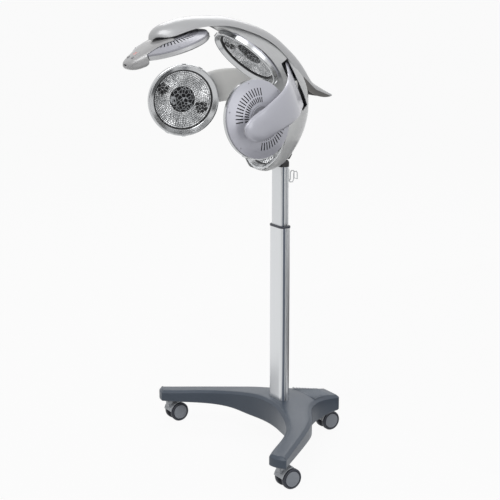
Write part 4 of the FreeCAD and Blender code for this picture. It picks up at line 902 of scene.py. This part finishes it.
def base_cover_mesh():
    """Moulded three-legged cover: crowned top, chamfered edge, open below."""
    edge = base_edge()
    hole = rounded_loop(MAST_W / 2 + MAST_SLIP, MAST_D / 2 + MAST_SLIP, MAST_CORNER)
    ways = [[(p, top_height(p) - BASE_ROOF) for p in drawn_in(edge, BASE_WALL + MM)],
            [(p, under_height(p)) for p in drawn_in(edge, BASE_WALL)],
            [(p, under_height(p)) for p in drawn_in(edge, FOOT_IN)],
            [(p, under_height(p) + FOOT_UP) for p in edge]]
    for inset, drop in BASE_CHAMFER:
        ways.append([(p, top_height(p) - drop * MM) for p in drawn_in(edge, inset * MM)])
    bm = bmesh.new()
    rings = [[bm.verts.new((p.x, p.y, z)) for p, z in way] for way in ways]
    skin(bm, rings)
    openings = []
    for ring, drop in ((rings[-1], 0.0), (rings[0], BASE_ROOF)):
        flat, faces = filled([v.co.xy for v in ring], hole, FILL_PITCH)
        spots = list(ring) + [bm.verts.new((p.x, p.y, top_height(p) - drop)) for p in flat[len(ring):]]
        openings.append(spots[len(ring):len(ring) + len(hole)])
        for face in faces:
            bm.faces.new([spots[i] for i in face])
    skin(bm, openings)
    bmesh.ops.recalc_face_normals(bm, faces=bm.faces)
    return mesh_of("base_cover_moulding", bm, crease=24)


def rib_shape():
    """Bar along X, two units long and wide, one unit high, with rounded sides and drawn-in ends."""
    section = ((-1.0, 0.0), (-0.82, 0.66), (-0.5, 1.0), (0.5, 1.0), (0.82, 0.66), (1.0, 0.0))
    ends = ((-1.0, 0.5), (-0.985, 0.9), (-0.96, 1.0), (0.96, 1.0), (0.985, 0.9), (1.0, 0.5))
    bm = bmesh.new()
    rings = [[bm.verts.new((x, y * share, z * share)) for y, z in section] for x, share in ends]
    skin(bm, rings)
    bm.faces.new(rings[0])
    bm.faces.new(rings[-1])
    bmesh.ops.recalc_face_normals(bm, faces=bm.faces)
    return mesh_of("rib", bm)


def base_ribs():
    """Ribs across the rear leg, each nearly as long as the leg is wide there."""
    rows = []
    edge = base_edge()
    for i in range(RIB_COUNT):
        y = RIB_START + i * RIB_PITCH
        top = along_profile(BASE_TOP, y)
        slope = math.atan2(along_profile(BASE_TOP, y + MM) - top, MM)
        half = max(p.x for p in edge if abs(p.y - y) < RIB_LOOK) - RIB_INSET
        rows.append(((0, y, top - RIB_SUNK), (slope, 0, 0), (half, RIB_WIDTH / 2, RIB_HEIGHT)))
    return set_out(rib_shape(), rows, RIB_SLATE_PAINTED_LIGHT)


def build_base():
    piece("base_moulding", base_cover_mesh(), "base", "base_slate", MATERIALS["base_slate"], "base_cover")
    piece("base_ribs", base_ribs(), "base", "base_slate", RIB_SLATE_PAINTED_LIGHT)


# ================================================================ mast
def collar_mesh():
    """Slim rounded ring on top of the lower tube, close round the upper one."""
    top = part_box("mast_collar")[1][2]
    bm = bmesh.new()
    rings = []
    for out, rise in COLLAR_RING:
        way = rounded_loop(MAST_W / 2 + out * MM, MAST_D / 2 + out * MM, MAST_CORNER + out * MM)
        rings.append([bm.verts.new((p.x, p.y, top + rise * MM)) for p in way])
    skin(bm, rings + rings[:1])
    bmesh.ops.recalc_face_normals(bm, faces=bm.faces)
    return mesh_of("collar_ring", bm, crease=50)


def build_mast():
    piece("collar_ring", collar_mesh(), "base", "collar_dark", MATERIALS["collar_dark"], "mast_collar")


# ================================================================ casters
def wheel_covers(name):
    """Pale covers pressed into the outer faces of one caster's wheels."""
    low, high = (Vector(corner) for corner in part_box(name + "_caster_wheels"))
    r = (high.z - low.z) / 2
    vertices, faces = lathe([(r * share, out * MM) for share, out in COVER_PROFILE], COVER_STEPS)
    faces.append(tuple(reversed(range(COVER_STEPS))))
    bm = bmesh.new()
    for side in (-1, 1):
        face = Vector((side * (high.x - low.x) / 2, 0, 0))
        turn = Matrix.Translation((low + high) / 2 + face) @ Matrix.Rotation(side * math.pi / 2, 4, "Y")
        made = [bm.verts.new(turn @ v) for v in vertices]
        for corners in faces:
            bm.faces.new([made[i] for i in corners])
    mesh = mesh_of(name + "_wheel_covers", bm)
    mesh.shade_smooth()
    return mesh


def build_casters():
    for name in ("front_left", "front_right", "rear"):
        piece(name + "_wheel_covers", wheel_covers(name), name + "_wheels", "caster_fork_grey", WHEEL_COVER)


# ================================================================ control panel
def panel_place():
    """Place on the display window: +Z out of the panel, +Y up its slope."""
    points = [v.co for v in NODES["display_window"].data.vertices]
    low, high = (Vector(c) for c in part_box("display_window"))
    front = [p for p in points if p.y < (low.y + high.y) / 2]
    back = [p for p in points if p.y >= (low.y + high.y) / 2]
    foot = max(front, key=lambda p: p.z - p.y)
    top = max(back, key=lambda p: p.z + p.y)
    slope = Vector((0, top.y - foot.y, top.z - foot.z)).normalized()
    out = Vector((0, -slope.z, slope.y))
    middle = Vector((0, (low.y + high.y) / 2, (low.z + high.z) / 2)) + out * WINDOW_RISE
    return Matrix.Translation(middle) @ Matrix((slope.cross(out), slope, out)).transposed().to_4x4()


def bar_plan(half, upright):
    """Pointed bar in plan, lying or upright."""
    t = BAR_WIDTH / 2
    plan = [(-half, 0), (-half + t, -t), (half - t, -t), (half, 0), (half - t, t), (-half + t, t)]
    return [(-v, u) for u, v in plan] if upright else plan


def numeral_mesh(place):
    """Numerals made of seven-bar digits, each bar a thin plate."""
    w, h = NUMERAL_W / 2, NUMERAL_H / 2
    spots = {"a": (0, h, 0), "g": (0, 0, 0), "d": (0, -h, 0), "b": (w, h / 2, 1), "c": (w, -h / 2, 1),
             "e": (-w, -h / 2, 1), "f": (-w, h / 2, 1)}
    bars = {"2": "abged", "5": "afgcd"}
    vertices, faces = [], []
    for n, digit in enumerate(NUMERALS):
        for bar in bars[digit]:
            x, y, upright = spots[bar]
            x += (n - (len(NUMERALS) - 1) / 2) * NUMERAL_PITCH
            plan = bar_plan((h / 2 if upright else w) - BAR_GAP, upright)
            low = range(len(vertices), len(vertices) + len(plan))
            high = [i + len(plan) for i in low]
            for z in (0, BAR_THICK):
                vertices += [(x + u, y + v, z) for u, v in plan]
            faces += [tuple(high), tuple(reversed(low))]
            for k in range(len(plan)):
                m = (k + 1) % len(plan)
                faces.append((low[k], low[m], high[m], high[k]))
    mesh = mesh_from("numerals", vertices, faces, smooth=False)
    mesh.transform(place)
    return mesh


def build_panel():
    piece("panel_numerals", numeral_mesh(panel_place()), "front_lamp", "display_smoke", LED_RED)


# ================================================================ studio
def seen_directly(net):
    """1 as the camera, polished and clear surfaces see it, 0 as light that falls on things."""
    rays = net.tree.nodes.new("ShaderNodeLightPath").outputs
    kinds = ("Camera", "Glossy", "Transmission")
    return sum(Sock(net, rays["Is " + kind + " Ray"]) for kind in kinds).clamp()


def build_world():
    net = Net("studio", "worlds")
    net.put(net.shader.inputs["Color"], (1, 1, 1))
    net.put(net.shader.inputs["Strength"], seen_directly(net) * (WORLD_SEEN - WORLD_LIT) + WORLD_LIT)
    bpy.context.scene.world = net.owner


def stage_sheet(name, corners, net):
    """Flat sheet of the studio, no part of the object."""
    sheet = bpy.data.objects.new(name, mesh_from(name, corners, [(0, 1, 2, 3)], smooth=False))
    bpy.context.scene.collection.objects.link(sheet)
    sheet.data.materials.append(net.owner)
    return sheet


def build_floor():
    """Wide floor that takes shadows and shows nearly white."""
    net = Net("studio_floor")
    net.finish((FLOOR_GREY, FLOOR_GREY, FLOOR_GREY), 0.9)
    white = net.node("ShaderNodeEmission", None, (1, 1, 1), 1.0)
    mixed = net.node("ShaderNodeMixShader", None, seen_directly(net) * FLOOR_SEEN,
                     Sock(net, net.shader.outputs[0]), white)
    net.put(net.tree.nodes["Material Output"].inputs["Surface"], mixed)
    corners = [(x * FLOOR_HALF, y * FLOOR_HALF, 0) for x, y in ((-1, -1), (1, -1), (1, 1), (-1, 1))]
    stage_sheet("floor", corners, net)


def build_flags():
    for name, corners in STUDIO_FLAGS.items():
        felt = Net(name + "_felt")
        felt.finish(felt.mix(felt.noise(felt.place(), 3.0), (0.02, 0.02, 0.02), (0.035, 0.035, 0.035)), 0.9)
        flag = stage_sheet(name, corners, felt)
        flag.visible_camera = flag.visible_diffuse = flag.visible_shadow = False


def build_lights():
    for name, (at, size, power) in STUDIO_LAMPS.items():
        lamp = bpy.data.lights.new(name, "AREA")
        lamp.size, lamp.energy = size, power
        holder = bpy.data.objects.new(name, lamp)
        holder.location = at
        holder.rotation_euler = (LIT_POINT - Vector(at)).to_track_quat("-Z", "Y").to_euler()
        bpy.context.scene.collection.objects.link(holder)


def build_camera():
    ahead = Vector((-math.sin(CAMERA_AZIMUTH), math.cos(CAMERA_AZIMUTH), 0))
    right = Vector((math.cos(CAMERA_AZIMUTH), math.sin(CAMERA_AZIMUTH), 0))
    level = ahead * math.cos(CAMERA_PAN) - right * math.sin(CAMERA_PAN)
    look = level * math.cos(CAMERA_DOWN) - Vector((0, 0, math.sin(CAMERA_DOWN)))
    data = bpy.data.cameras.new("camera")
    data.lens, data.sensor_width = CAMERA_LENS, 36
    camera = bpy.data.objects.new("camera", data)
    camera.location = CAMERA_AT
    camera.rotation_euler = look.to_track_quat("-Z", "Y").to_euler()
    bpy.context.scene.collection.objects.link(camera)
    bpy.context.scene.camera = camera


bpy.context.scene.view_settings.view_transform = "Standard"
build_camera()
build_world()
build_floor()
build_flags()
build_lights()
dress_nodes()
build_lamps()
build_base()
build_mast()
build_casters()
build_panel()
